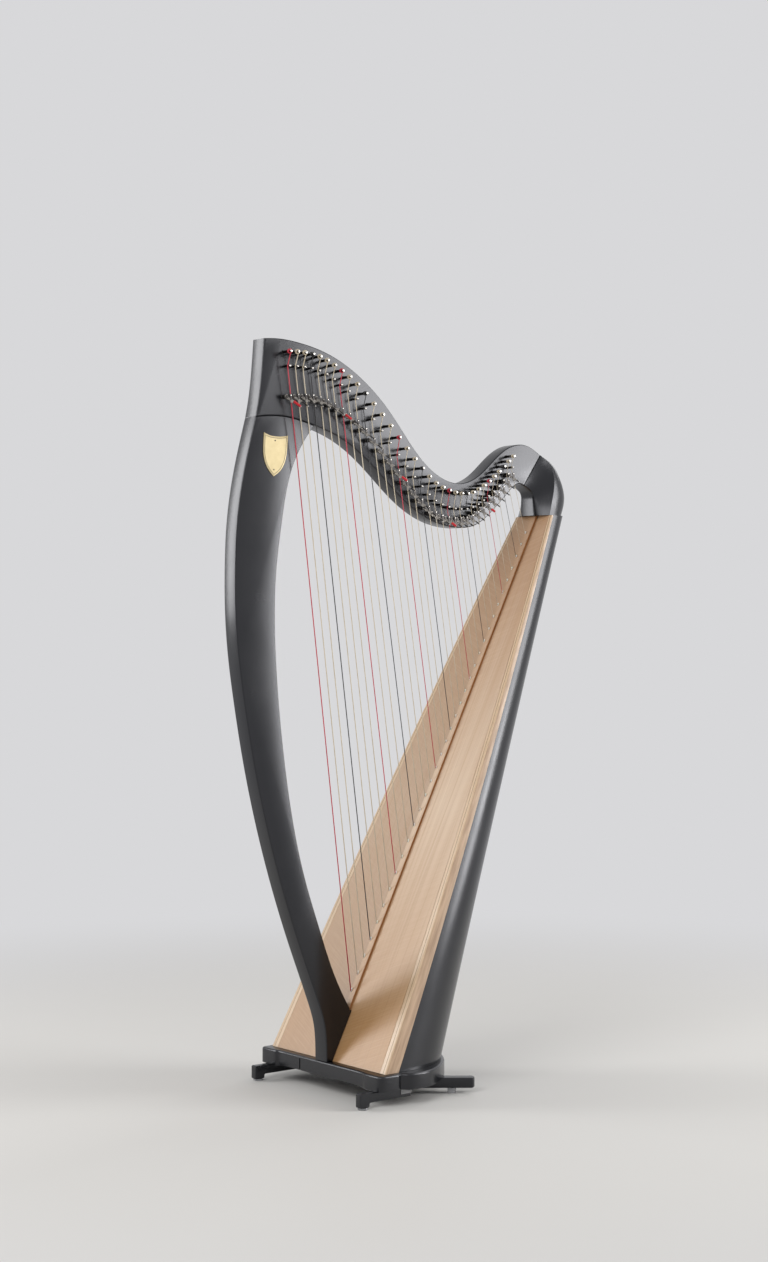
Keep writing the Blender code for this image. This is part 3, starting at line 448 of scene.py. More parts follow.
for name, sign in (("plain_side", 1), ("string_side", -1)):
    y = sign * FRONT_LEG_Y
    levels = softened(y - FRONT_LEG_HALF, y + FRONT_LEG_HALF, FRONT_LEG_ROUND, FRONT_LEG_ROUND)
    lacquered("front_leg_block_" + name, stood_plate(FRONT_LEG, levels), "front_leg_" + name)
    start = Vector(REAR_LEG_IN)
    end = Vector(REAR_LEG_OUT)
    way = (end - start).normalized()
    side = Vector((-way.y, way.x)) * REAR_LEG_HALF
    outline = [start + side, start - side]
    for a in sweep(-math.pi / 2, math.pi / 2, 8):
        outline.append(end - way * REAR_LEG_NOSE * (1 - math.cos(a)) + side * math.sin(a))
    outline = [(x, sign * y) for x, y in outline]
    levels = softened(REAR_LEG_Z0, LEG_TOP, REAR_LEG_ROUND, LEG_ROUND)
    lacquered("rear_leg_block_" + name, flat_plate(outline, levels), "rear_leg_" + name)
    for pad, x, y, r, top in PADS:
        profile = [(h, r + wider) for h, wider in PAD_FOOT] + [(top * PAD_WAIST, r), (top, r - PAD_EDGE)]
        piece(
            pad + "disc_" + name, [turned((x, sign * y, 0), (0, 0, 1), profile, 40)],
            [clear_rubber], [pad + name],
        )
    outside = sign * (FRONT_LEG_Y + FRONT_LEG_HALF)
    levels = (
        (outside, 0), (outside + sign * (BRACKET_T - BRACKET_EDGE), 0),
        (outside + sign * BRACKET_T, BRACKET_EDGE),
    )
    shapes = [stood_plate(BRACKET, levels)]
    for x, z in BRACKET_SCREWS:
        shapes.append(turned((x, outside, z), (0, sign, 0), SCREW_HEAD, 16))
    piece("leg_bracket_" + name, shapes, [zinc_plate])

refinished("column_bolt", nickel)

# Soundbox shell
# The staved hardwood back of the soundbox, rounded and tapered, is lacquered black outside.
# Four oval sound holes down its back let the player reach the knots of the strings.

BOARD_SLOPE = math.radians(63.04)
BOX_Z0 = BASE_Z1 + GAP
BOX_Z1 = 1.1135
BOX_FOOT = 0.0615
HALF_WIDTH = (0.1775, 0.0540)
SIDE_BOW = 0.0125
BACK_DEPTH = (0.1922, 0.0540)
BACK_HOLLOW = 0.0154
BACK_ROUND = 0.9
RIM_DEPTH = (0.0314, 0.0044)
SHELL_WALL = 0.0050
BOX_LEVELS = 25
ARC_STEPS = 72
SOUND_HOLES = ((0.20, 0.052, 0.034), (0.40, 0.044, 0.030), (0.59, 0.034, 0.024), (0.76, 0.024, 0.017))
SOUND_HOLE_CUT = 0.0200


def between(pair, share):
    return pair[0] + (pair[1] - pair[0]) * share


def board_x(z):
    return (z - BOX_FOOT) / math.tan(BOARD_SLOPE)


def box_share(z):
    return (z - BOX_FOOT) / (BOX_Z1 - BOX_FOOT)


def half_width(z):
    f = box_share(z)
    return between(HALF_WIDTH, f) + 4 * SIDE_BOW * f * (1 - f)


def back_depth(z):
    f = box_share(z)
    return between(BACK_DEPTH, f) - 4 * BACK_HOLLOW * f * (1 - f)


def back_arc(z, inset):
    """The rounded back at one height, from the plain side round to the string side."""
    front = board_x(z) + between(RIM_DEPTH, box_share(z)) + GAP
    points = []
    for a in sweep(0, math.pi, ARC_STEPS):
        across = math.copysign(abs(math.cos(a)) ** BACK_ROUND, math.cos(a))
        away = math.sin(a) ** BACK_ROUND
        points.append((front + (back_depth(z) - inset) * away, (half_width(z) - inset) * across, z))
    return points


rings = []
for z in np.linspace(BOX_Z0, BOX_Z1, BOX_LEVELS):
    rings.append(back_arc(z, 0) + back_arc(z, SHELL_WALL)[::-1])
shell = lacquered("soundbox_back", lofted(rings), "soundbox_shell")
lean = board_x(BOX_Z1) - board_x(BOX_Z0) + RIM_DEPTH[1] - RIM_DEPTH[0] + BACK_DEPTH[1] - BACK_DEPTH[0]
back_line = Vector((lean, 0, BOX_Z1 - BOX_Z0)).normalized()
out = Vector((back_line.z, 0, -back_line.x))
saws = []
for f, tall, wide in SOUND_HOLES:
    z = BOX_FOOT + (BOX_Z1 - BOX_FOOT) * f
    middle = Vector((board_x(z) + between(RIM_DEPTH, f) + back_depth(z), 0, z))
    saws.append(lofted([
        oval(middle + out * depth, back_line * tall, Vector((0, wide, 0)), 56)
        for depth in (-SOUND_HOLE_CUT, SOUND_HOLE_CUT)
    ]))
cut_away(shell, saws)

# Inside the soundbox
# A rib of plain maple backs the soundboard along the string line, and a bent maple brace holds the
# back in shape half way up. Both are planed, glued in and left bare.

WOOD_RELIEF = 0.0003


def up_the_board(tree, where, stretch=(1, 1, 1)):
    """The place on the piece, turned to run up the soundboard and stretched with its grain."""
    tilted = add(tree, "Mapping", {"Vector": where}, {"Rotation": (0, BOARD_SLOPE, 0)})
    return add(tree, "VectorMath", {0: tilted}, {1: stretch}, operation="MULTIPLY")


def board_wood(name, along, across, detail, tones, roughness=(), contrast=(), relief=0.0, **sockets):
    """A wood whose figure runs up the soundboard, with its waves to the metre along and across it."""
    made, tree, shader, where = start_finish(name, **sockets)
    drawn = up_the_board(tree, where, (along, across, across))
    grain = add(tree, "TexNoise", {"Vector": drawn}, {"Scale": 1.0, "Detail": detail})
    drifted(tree, shader, grain, tones, roughness, contrast)
    if relief:
        raised = add(tree, "Bump", {"Height": grain}, {"Strength": relief, "Distance": WOOD_RELIEF})
        connect(shader, Normal=raised)
    return made


# Bare maple, planed: pale tan with darker lines 2.4 mm apart that can just be felt, and no gloss.
bare_maple = board_wood(
    "planed_bare_maple", 12.0, 420.0, 4.0, ("#b9946a", "#dcc29a"), relief=0.2, IOR=1.45, Roughness=0.62,
)
refinished("inner_string_rib", bare_maple)
refinished("soundbox_brace", bare_maple)

# Soundboard
# The soundboard is quarter sawn spruce, joined from narrow strips with the grain running lengthwise
# and finished clear. It is glued to the rims, and a slot down its middle lets the strings through.

HATCH_SLOPE = 0.445

# Quarter sawn spruce under clear satin lacquer: growth lines about 2 mm apart, drawn at 4 mm so that they
# show, in strips 30 mm wide under a fine slanting hatch. The wood is honey at the foot; a painted sheen
# makes it palest half way up, and painted shade makes it a deeper tan at the head.
spruce, tree, shader, where = start_finish(
    "satin_quarter_sawn_spruce", IOR=1.5, Coat_Weight=0.35, Coat_Roughness=0.28,
)
along = add(tree, "SeparateXYZ", {0: up_the_board(tree, where)})
drawn = up_the_board(tree, where, (1.6, 250.0, 1.6))
growth = add(tree, "TexNoise", {"Vector": drawn}, {"Scale": 1.0, "Detail": 2.5})
wide = up_the_board(tree, where, (0.9, 34.0, 0.9))
strips = add(tree, "TexNoise", {"Vector": wide}, {"Scale": 1.0, "Detail": 3.0})
folded = add(tree, "Math", {0: along.outputs["Y"]}, operation="ABSOLUTE")
slant = add(  # the veneer's own lines rise 24 degrees outwards from the rib, 3 mm apart
    tree, "Math", {0: folded, 2: along.outputs["X"]}, {1: -HATCH_SLOPE},
    operation="MULTIPLY_ADD",
)
hatch = add(tree, "CombineXYZ", {"X": slant, "Y": along.outputs["Y"]}, {"Z": 0.0})
silk = add(tree, "VectorMath", {0: hatch}, {1: (340.0, 14.0, 1.0)}, operation="MULTIPLY")
flecks = add(tree, "TexNoise", {"Vector": silk}, {"Scale": 1.0, "Detail": 2.0})
climb = add(tree, "MapRange", {"Value": along.outputs["X"]}, {"From Min": 0.05, "From Max": 1.05})
# Painted sheen and shade up the board: honey at the foot, a painted sheen half way up, painted shade at the
# head.
painted_sheen_and_shade_ramp = add(tree, "ValToRGB", {"Fac": climb})
painted_sheen_and_shade_ramp.color_ramp.elements.new(0.45)
for stop, tone in zip(painted_sheen_and_shade_ramp.color_ramp.elements, ("#b68b5c", "#dcc4a9", "#b08b6b")):
    stop.color = linear(tone)
painted_shade_half = add(  # painted shade: the plain side's half of the book-matched board is painted darker
    tree, "MapRange", {"Value": along.outputs["Y"]},
    {"From Min": -0.001, "From Max": 0.001, "To Min": 0.0, "To Max": 0.60},
)
wood = add(tree, "Mix", {0: painted_shade_half, 6: painted_sheen_and_shade_ramp}, {7: linear("#a17c58")}, data_type="RGBA")
for pattern, faint, full, most, tone in (
    (growth, 0.46, 0.72, 0.42, "#a67c50"),
    (strips, 0.38, 0.66, 0.36, "#b38a60"),
    (flecks, 0.45, 0.70, 0.12, "#e6cdae"),
):
    depth = add(
        tree, "MapRange", {"Value": pattern},
        {"From Min": faint, "From Max": full, "To Min": 0.0, "To Max": most},
    )
    wood = add(tree, "Mix", {0: depth, 6: wood.outputs[2]}, {7: linear(tone)}, data_type="RGBA")
connect(shader, Base_Color=wood.outputs[2])
satin = add(
    tree, "MapRange", {"Value": flecks},
    {"From Min": 0.3, "From Max": 0.7, "To Min": 0.38, "To Max": 0.5},
)
connect(shader, Roughness=satin)
relief = add(tree, "Bump", {"Height": growth}, {"Strength": 0.12, "Distance": WOOD_RELIEF})
connect(shader, Normal=relief)
refinished("soundboard", spruce)

# Rims
# A rim of pale hardwood frames the soundboard: a cream strip on the face with a dark line down its
# middle, and a side painted a darker tan for its shade, with darker figure. It is planed, glued and
# lacquered.

BOARD_T = 0.0040
ACROSS = 1 / math.sin(BOARD_SLOPE)
RIM_WIDTH = (0.0170, 0.0080)
RIM_LEDGE = 0.0060
RIM_SOFT = 0.0015
RIM_BEND = 0.3 * RIM_SOFT  # how far the middle of the rounding lies from the square corner
BED = BOARD_T * ACROSS + 1.2 * GAP  # how deep the soundboard's edge is let in
CHAMFER = 0.0003
LINE_PLACE = 0.46  # share of the strip's width, from its outer edge
LINE_HALF = 0.0006
LINE_DEEP = 0.00008
RIM_LOOKS = (0, 0, 2, 2, 2, 0, 0, 0, 1, 1, 1, 1, 1)  # the finish of each side, from the inner edge round

# Cream maple veneer, scraped and lacquered: nearly even, with a soft lengthwise drift of tone.
cream_maple = board_wood(
    "lacquered_cream_maple", 7.0, 300.0, 3.0, ("#c8a884", "#dcc2a1"), (0.3, 0.42),
    IOR=1.5, Coat_Weight=0.3, Coat_Roughness=0.2,
)

# The rim's side, planed and lacquered clear: tan brown with darker lengthwise figure 6 mm wide. The tan
# is painted shade: the face's cream wood, darkened for the shadow on the side.
shaded_rim_side_wood = board_wood(
    "lacquered_rim_side_painted_shade", 5.0, 160.0, 5.0, ("#c6a98c", "#a2846a"), (0.3, 0.45), (0.34, 0.68),
    IOR=1.5, Coat_Weight=0.3, Coat_Roughness=0.2,
)

# Glue and old polish in the groove of the rim: matt brown with 3 mm patches. The same brown ring round
# each string is painted shade for the hole in its eyelet.
glue_and_hole_shade = clouded_finish("joint_glue_and_painted_hole_shade", 300.0, 2.0, ("#7d6144", "#917457"), IOR=1.45)


def banded(rings, ends, bands):
    """A skin through rings, with one finish for its two ends and one for each side of the ring."""
    verts, faces = lofted(rings)
    return verts, faces, [ends] * 2 + [bands[k % len(bands)] for k in range(len(faces) - 2)]


for name, sign in (("plain_side", 1), ("string_side", -1)):
    rings = []
    for z in np.linspace(BOX_Z0, BOX_Z1, BOX_LEVELS):
        f = box_share(z)
        w = half_width(z)
        inner = w - between(RIM_WIDTH, f)
        ledge = inner - RIM_LEDGE
        deep = between(RIM_DEPTH, f)
        line = w - between(RIM_WIDTH, f) * LINE_PLACE
        rings.append([(board_x(z) + dx, sign * y, z) for dx, y in (
            (CHAMFER, inner), (0, inner + CHAMFER), (0, line - LINE_HALF), (LINE_DEEP, line - LINE_HALF),
            (LINE_DEEP, line + LINE_HALF), (0, line + LINE_HALF), (0, w - RIM_SOFT),
            (RIM_BEND, w - RIM_BEND), (RIM_SOFT, w), (deep, w), (deep, ledge), (BED, ledge), (BED, inner),
        )])
    piece(
        "rim_" + name, [banded(rings, 1, RIM_LOOKS)], [cream_maple, shaded_rim_side_wood, glue_and_hole_shade],
        ["edge_moulding_" + name],
    )

# String rib and its eyelets
# A strip of wood is glued down the middle of the soundboard. Its face is spruce, and its sides are
# painted a darker red brown, which is painted shade.
# Each string comes up through it in an oval white nylon eyelet, pressed into a drilled hole; a dark ring
# round the string is painted shade for the hole.

BOARD_UP = Vector((math.cos(BOARD_SLOPE), 0, math.sin(BOARD_SLOPE)))
BOARD_OUT = Vector((-math.sin(BOARD_SLOPE), 0, math.cos(BOARD_SLOPE)))
RIB_T = 0.0050
RIB_HALF = 0.0130
RIB_Z0 = 0.1522
RIB_SHORT = 0.0006
RIB_EDGE = ((0.0022, 0.0), (0.0008, 0.0004), (0.0, 0.0014))  # the rounding of its two edges
RIB_LOOKS = (1, 1, 1, 0, 0, 0, 1, 1)
EYE_STAND = 0.0008
EYE_RINGS = ((0.0001, 0.0027, 0.0042), (0.0009, 0.0027, 0.0042), (0.0013, 0.0021, 0.0036))
EYE_ABOVE = 0.0022
EYE_SHRINK = 0.25
HOLE_SHADE_WIDER = 0.0007
HOLE_SHADE_FOOT = 0.0012
HOLE_SHADE_TOP = 0.0015

# The rib's sides and ends, planed and lacquered: red brown with nearly black streaks 3 mm wide. The red
# brown is painted shade, much darker than the spruce face, for the shade on the rib's sides.
shaded_rib_wood = board_wood(
    "lacquered_rib_wood_painted_shade", 9.0, 330.0, 4.0, ("#7a431d", "#b57a42"), (0.26, 0.4),
    IOR=1.5, Coat_Weight=0.35, Coat_Roughness=0.15,
)

rings = []
for z in np.linspace(RIB_Z0, BOX_Z1 - RIB_SHORT, 3):
    near = board_x(z) - GAP * ACROSS
    far = board_x(z) - RIB_T * ACROSS
    edge = [(far + dx, RIB_HALF - dy) for dx, dy in RIB_EDGE]
    section = [(near, RIB_HALF), (near, -RIB_HALF)] + [(x, -y) for x, y in edge] + edge[::-1]
    rings.append([(x, y, z) for x, y in section])
piece(
    "string_rib", [banded(rings, 1, RIB_LOOKS)], [spruce, shaded_rib_wood],
    ["outer_string_rib"], sharp=25,
)


def board_point(along, out=0.0, y=0.0):
    """A place on the soundboard by distance from its lower edge and height over its face."""
    return Vector((0, y, BOX_FOOT)) + BOARD_UP * along + BOARD_OUT * out


# The strings' places are laid out here, because the eyelets are the first pieces that need them.
PLATE_HALF = 0.0184
SHOULDER_FOOT = 1.1138
STRETCH = (BOX_Z1 - BOX_Z0) / (SHOULDER_FOOT - GAP - BOX_Z0)
STRINGS = 34
STRING_R = (0.0010, 0.0004)
STRING_STAND = 0.0140
FIRST_EYE = 0.1366
LAST_EYE = 1.1372 * STRETCH
EYE_STEPS = ((1, 0.0352), (10, 0.0341), (16, 0.0282), (34, 0.0275))
PIN_X = (
    (1, -0.1138), (4, -0.0611), (8, 0.0083), (12, 0.0856), (16, 0.1680), (20, 0.2420),
    (24, 0.3076), (28, 0.3666), (34, 0.4453),
)
PIN_LINE = (
    (-0.1138, 1.3712), (-0.0783, 1.3716), (-0.0439, 1.3671), (0.0083, 1.3439), (0.0490, 1.3173),
    (0.0856, 1.2835), (0.1263, 1.2416), (0.1680, 1.1971), (0.2072, 1.1590), (0.2420, 1.1333),
    (0.2751, 1.1221), (0.3076, 1.1187), (0.3369, 1.1234), (0.3666, 1.1385), (0.4063, 1.1679),
    (0.4453, 1.2079),
)
TUNING_RISE = (
    (1, 0.0262), (6, 0.0256), (8, 0.0262), (12, 0.0290), (16, 0.0340), (20, 0.0340), (24, 0.0305),
    (28, 0.0294), (31, 0.0290), (34, 0.0222),
)
TUNING_SHIFT = -0.0035
BRIDGE_PIN_R = 0.0022
PIVOT_OFF = 0.0090
LEVER_REACH = 0.758 * (1 - 2 ** (-1 / 12))
LEVER_DROP = 0.0052


def cubic(at, values, wanted):
    """Natural cubic spline through the values at the given places."""
    at = np.asarray(at, float)
    values = np.asarray(values, float).reshape(len(at), -1)
    wanted = np.atleast_1d(np.asarray(wanted, float))
    n = len(at)
    h = np.diff(at)
    system = np.eye(n)
    right = np.zeros_like(values)
    for i in range(1, n - 1):
        system[i, i - 1 : i + 2] = h[i - 1], 2 * (h[i - 1] + h[i]), h[i]
        right[i] = 6 * ((values[i + 1] - values[i]) / h[i] - (values[i] - values[i - 1]) / h[i - 1])
    bend = np.linalg.solve(system, right)
    k = np.clip(np.searchsorted(at, wanted) - 1, 0, n - 2)
    a = ((at[k + 1] - wanted) / h[k])[:, None]
    b = ((wanted - at[k]) / h[k])[:, None]
    lift = ((a**3 - a) * bend[k] + (b**3 - b) * bend[k + 1]) * (h[k] ** 2)[:, None] / 6
    return a * values[k] + b * values[k + 1] + lift


def stretched(points):
    """Places of an outline, fitted to the height of the soundbox."""
    return [(x * STRETCH, BOX_Z0 + (z - BOX_Z0) * STRETCH) for x, z in points]


number = np.arange(1, STRINGS + 1)
pin_line = stretched(PIN_LINE)
pin_x = cubic([n for n, _ in PIN_X], [x * STRETCH for _, x in PIN_X], number)[:, 0]
pin_z = cubic([x for x, _ in pin_line], [z for _, z in pin_line], pin_x)[:, 0]
rises = cubic([n for n, _ in TUNING_RISE], [r for _, r in TUNING_RISE], number)[:, 0]
steps = np.interp(number[:-1] + 0.5, [n for n, _ in EYE_STEPS], [s for _, s in EYE_STEPS])
eyes = FIRST_EYE + np.concatenate([[0], np.cumsum(steps)]) * (LAST_EYE - FIRST_EYE) / steps.sum()
strings = []
for n, x, z, rise, eye in zip(number, pin_x, pin_z, rises, eyes):
    share = (n - 1) / (STRINGS - 1)
    radius = between(STRING_R, share)
    foot = board_point(eye, RIB_T + EYE_STAND)
    pin = Vector((x, 0, z))
    run = (foot - pin).normalized()
    for _ in range(3):
        side = Vector((run.z, 0, -run.x)).normalized()
        top = pin + side * (BRIDGE_PIN_R + radius + GAP)
        top.y = -(PLATE_HALF + STRING_STAND)
        run = (foot - top).normalized()
    flat = Vector((run.x, 0, run.z)).normalized()
    drop = LEVER_REACH * (foot - top).length + LEVER_DROP
    strings.append(dict(
        number=int(n), share=share, radius=radius, pin=pin, tuning=Vector((x + TUNING_SHIFT, 0, z + rise)),
        top=top, foot=foot, eye=eye, side=side,
        pivot=Vector((top.x, 0, top.z)) + flat * drop + side * PIVOT_OFF,
    ))

# White nylon, moulded: milky and soft edged, a little yellowed, with 2 mm clouds.
white_nylon = clouded_finish(
    "moulded_white_nylon", 500.0, 2.0, ("#e3dccd", "#f6f2ea"),
    IOR=1.53, Roughness=0.35, Subsurface_Weight=0.2, Subsurface_Scale=0.002,
)
shapes = []
for s in strings:
    size = 1 - EYE_SHRINK * s["share"]
    rings = []
    for out, wide, tall in EYE_RINGS:
        middle = board_point(s["eye"] + EYE_ABOVE * size, RIB_T + out)
        rings.append(oval(middle, Vector((0, wide * size, 0)), BOARD_UP * (tall * size), 24))
    shapes.append(lofted(rings))
    # A dark ring round the string: painted shade for the hole in the eyelet.
    wide = s["radius"] + HOLE_SHADE_WIDER
    painted_hole_shade_ring = ((HOLE_SHADE_FOOT, wide), (HOLE_SHADE_TOP, wide), (HOLE_SHADE_TOP, s["radius"]))
    shapes.append((*turned(board_point(s["eye"], RIB_T), BOARD_OUT, painted_hole_shade_ring, 16), 1))
piece("string_eyelets", shapes, [white_nylon, glue_and_hole_shade])

# Column
# The column is a thick plank, sawn to a long bow, with its edges broken and lacquered black.
# It stands on the base, is bolted from below and leans against the foot of the soundboard.

COLUMN_FRONT = (
    (-0.1790, 1.2741), (-0.2093, 1.1542), (-0.2208, 1.0783), (-0.2250, 1.0000), (-0.2247, 0.9200),
    (-0.2193, 0.8439), (-0.2036, 0.7374), (-0.1848, 0.6380), (-0.0783, 0.2836), (-0.0334, 0.1709),
    (-0.0210, 0.1330), (-0.0165, 0.1000), (-0.0155, BOX_Z0),
)
COLUMN_BACK = (
    (-0.0439, 1.2652), (-0.0672, 1.2349), (-0.0933, 1.1876), (-0.1195, 1.0800), (-0.1325, 0.9850),
    (-0.1354, 0.9267), (-0.1326, 0.8200), (-0.1136, 0.6370), (-0.0649, 0.4094), (-0.0289, 0.3079),
    (-0.0029, 0.2402), (0.0247, 0.1839), (0.0416, 0.1549),
)
NECK_BOTTOM = (
    (-0.1790, 1.2741), (-0.1397, 1.2787), (-0.0899, 1.2756), (-0.0439, 1.2652), (0.0230, 1.2423),
    (0.0942, 1.1970), (0.1758, 1.1304), (0.2420, 1.0954), (0.3073, 1.0828), (0.3579, 1.0885),
    (0.3850, 1.1030), (0.4150, 1.1275), (0.4450, 1.1545), (0.4620, 1.1700), (0.4760, 1.1768),
    (0.4915, 1.1735),
)
EDGE = 0.0022
HEAD_MARGIN = 0.0005


def curve(points, count):
    """A smooth line through the points, in about equal steps."""
    points = np.asarray(points, float)
    along = np.concatenate([[0], np.cumsum(np.linalg.norm(np.diff(points, axis=0), axis=1))])
    return [tuple(p) for p in cubic(along, points, np.linspace(0, along[-1], count))]


neck_bottom = curve(stretched(NECK_BOTTOM), 160)
front = curve(stretched(COLUMN_FRONT), 150)
back = curve(stretched(COLUMN_BACK), 130)
head = [(x, z - GAP) for x, z in neck_bottom if front[0][0] + HEAD_MARGIN < x < back[0][0] - HEAD_MARGIN]
front[0] = (front[0][0], front[0][1] - GAP)
back[0] = (back[0][0], back[0][1] - GAP)
step = RIB_Z0 - GAP
outline = front[::-1] + head + back
outline += [(board_x(step) - (RIB_T + GAP) * ACROSS, step), (board_x(step) - GAP * ACROSS, step)]
outline += [(board_x(BOX_Z0) - GAP * ACROSS, BOX_Z0)]
edges = softened(-PLATE_HALF, PLATE_HALF, EDGE, EDGE)
lacquered("column_plank", stood_plate(outline, edges), "column")

# Neck
# The neck is laminated hardwood, sawn to its long wave, with its edges broken and lacquered black.
# It is joined to the head of the column and to the shoulder, and carries all the pins and levers.

NECK_TOP = (
    (-0.1604, 1.4202), (-0.1300, 1.4224), (-0.0800, 1.4187), (-0.0131, 1.4036), (0.0652, 1.3651),
    (0.1400, 1.3025), (0.2124, 1.2213), (0.2617, 1.1846), (0.3199, 1.1713), (0.3620, 1.1853),
    (0.4136, 1.2261), (0.4596, 1.2531), (0.4984, 1.2560), (0.5375, 1.2377),
)
NECK_FRONT = ((-0.1604, 1.4202), (-0.1655, 1.3600), (-0.1723, 1.3076), (-0.1790, 1.2741))
JOINT_STEP = (-0.8 * GAP, 0.55 * GAP)  # the neck stops this far short of the shoulder

top_line = curve(stretched(NECK_TOP), 180)
bottom_line = list(neck_bottom)
for line in (top_line, bottom_line):
    line[-1] = (line[-1][0] + JOINT_STEP[0], line[-1][1] + JOINT_STEP[1])
outline = top_line + bottom_line[::-1] + curve(stretched(NECK_FRONT), 24)[::-1][1:-1]
lacquered("neck_plank", stood_plate(outline, edges), "neck_string_side", "neck_plain_side")

# Shoulder
# The shoulder joins the neck to the head of the soundbox. It is carved from one block: flat facets at
# the sides, a hollow throat in front and a rounded back, then lacquered black.

# Each row gives its share of the way up, then x, height and half width of the throat's corner, x, half
# width and height of the facet's far edge, and x and height of the back.
SHOULDER = (
    (0.00, (0.5185, 1.1138, 0.0210), (0.5350, 0.0480, 1.1138), (0.5935, 1.1138)),
    (0.25, (0.5172, 1.1400, 0.0195), (0.5415, 0.0468, 1.1370), (0.6020, 1.1340)),
    (0.45, (0.5158, 1.1530, 0.0186), (0.5482, 0.0460, 1.1620), (0.6035, 1.1560)),
    (0.60, (0.5118, 1.1610, 0.0184), (0.5550, 0.0410, 1.1820), (0.5975, 1.1780)),
    (0.75, (0.5050, 1.1665, 0.0184), (0.5585, 0.0330, 1.2020), (0.5865, 1.2030)),
    (0.90, (0.4973, 1.1710, 0.0184), (0.5510, 0.0245, 1.2230), (0.5670, 1.2260)),
    (1.00, (0.4915, 1.1735, 0.0184), (0.5375, 0.0184, 1.2377), (0.5377, 1.2377)),
)
SHOULDER_STEP = (0.4 * GAP, -0.28 * GAP)  # the shoulder starts this far past the end of the neck
THROAT_ROUND = 0.0060

share_of = [row[0] for row in SHOULDER]
rows = []
for _, (throat_x, throat_z, throat_half), (edge_x, edge_half, edge_z), back in SHOULDER:
    throat, edge, back = stretched([(throat_x, throat_z), (edge_x, edge_z), back])
    rows.append([*throat, throat_half, *edge, edge_half, *back])
rings = []
for t in np.linspace(0, 1, 31):
    row = cubic(share_of, rows, t)[0]
    throat_x, throat_z, throat_half, edge_x, edge_z, edge_half, back_x, back_z = row
    soft = THROAT_ROUND * (1 - t) + EDGE * t
    if t == 1:
        throat_x, edge_x = throat_x + SHOULDER_STEP[0], edge_x + SHOULDER_STEP[0]
        throat_z, edge_z = throat_z + SHOULDER_STEP[1], edge_z + SHOULDER_STEP[1]
    corner = Vector((throat_x, throat_half, throat_z))
    facet = Vector((edge_x, edge_half, edge_z)) - corner
    half = []
    for k in range(4):  # the corner of the throat, rounded
        a = k / 3
        half.append(corner + Vector((0, -soft, 0)) * (1 - a) ** 2 + facet.normalized() * (soft * a * a))
    half.extend(corner + facet * (k / 4) for k in range(1, 4))
    for a in sweep(0, math.pi / 2, 18):  # the back, a full round up to the flat joint at the neck
        away = math.sin(a) ** BACK_ROUND if t < 1 else 0
        y = edge_half * (math.cos(a) ** BACK_ROUND if t < 1 else 1 - 2 * a / math.pi)
        half.append(Vector((between((edge_x, back_x), away), y, between((edge_z, back_z), away))))
    rings.append(half + [Vector((p.x, -p.y, p.z)) for p in half[-2::-1]])
lacquered("shoulder_block", lofted(rings), "shoulder", sharp=26)

# Name plate
# A thin brass shield, stamped with a border line, is nailed to the string side over the joint of neck
# and column with two round headed pins. It is left blank.

SHIELD = (
    (-0.1619, 1.2458), (-0.1500, 1.2413), (-0.1366, 1.2396), (-0.1220, 1.2399), (-0.1071, 1.2422),
    (-0.1082, 1.2250), (-0.1097, 1.2098), (-0.1140, 1.1930), (-0.1240, 1.1765), (-0.1400, 1.1646),
    (-0.1535, 1.1790), (-0.1605, 1.1930), (-0.1633, 1.2070), (-0.1632, 1.2260),
)
SHIELD_T = 0.0010
SHIELD_PROFILE = (  # share of its thickness, and distance in from its outline
    (0, 0), (0.6, 0), (0.9, 0.0003), (1.0, 0.0007), (1.0, 0.0026), (0.6, 0.0029), (0.6, 0.0033),
    (1.0, 0.0036),
)
BORDER_STEPS = (4, 5, 6)  # the stamped line, which has gone dark
NAILS = ((-0.1364, 1.2316), (-0.1396, 1.1774))
NAIL_HEAD = ((0, 0.0014), (0.0003, 0.0014), (0.0007, 0.0010), (0.0009, 0.0004))

# Brass, brushed and lightly gilt: pale gold with fine lines across and duller patches 15 mm wide.
brushed_brass, tree, shader, where = start_finish("brushed_pale_brass", Metallic=1.0)
patch = add(tree, "TexNoise", {"Vector": where}, {"Scale": 70.0, "Detail": 3.0})
drifted(tree, shader, patch, ("#a39572", "#b8aa88"))
drawn = add(tree, "VectorMath", {0: where}, {1: (160.0, 160.0, 1500.0)}, operation="MULTIPLY")
brush = add(tree, "TexNoise", {"Vector": drawn}, {"Scale": 1.0, "Detail": 2.0})
dull = add(
    tree, "MapRange", {"Value": brush},
    {"From Min": 0.3, "From Max": 0.7, "To Min": 0.42, "To Max": 0.55},
)
connect(shader, Roughness=dull)
relief = add(tree, "Bump", {"Height": brush}, {"Strength": 0.08, "Distance": FINE_RELIEF})
connect(shader, Normal=relief)

# Burnished steel, oiled black, with 1.7 mm smears: nail heads, handles and ears. On the pin shafts the
# black is a painted dark reflection, and on the lever posts it is painted shade.
black_steel_and_painted_shade = clouded_finish(
    "oiled_black_steel_and_painted_shade", 600.0, 3.0, ("#201f20", "#4a4745"), (0.24, 0.42), Metallic=1.0,
)

shield = stretched(SHIELD)
outline = []
for side, count in ((shield[:5], 20), (shield[4:10], 30), (shield[9:] + shield[:1], 30)):
    outline += curve(side, count)[:-1]
face = -PLATE_HALF - GAP
verts, faces = stood_plate(outline, [(face - SHIELD_T * rise, by) for rise, by in SHIELD_PROFILE])
looks = [0, 0] + [int(k // len(outline) in BORDER_STEPS) for k in range(len(faces) - 2)]
shapes = [(verts, faces, looks)]
for x, z in NAILS:
    shapes.append((*turned((x, face - SHIELD_T, z), (0, -1, 0), NAIL_HEAD, 16), 1))
piece("shield_plate", shapes, [brushed_brass, black_steel_and_painted_shade], ["name_plate"])

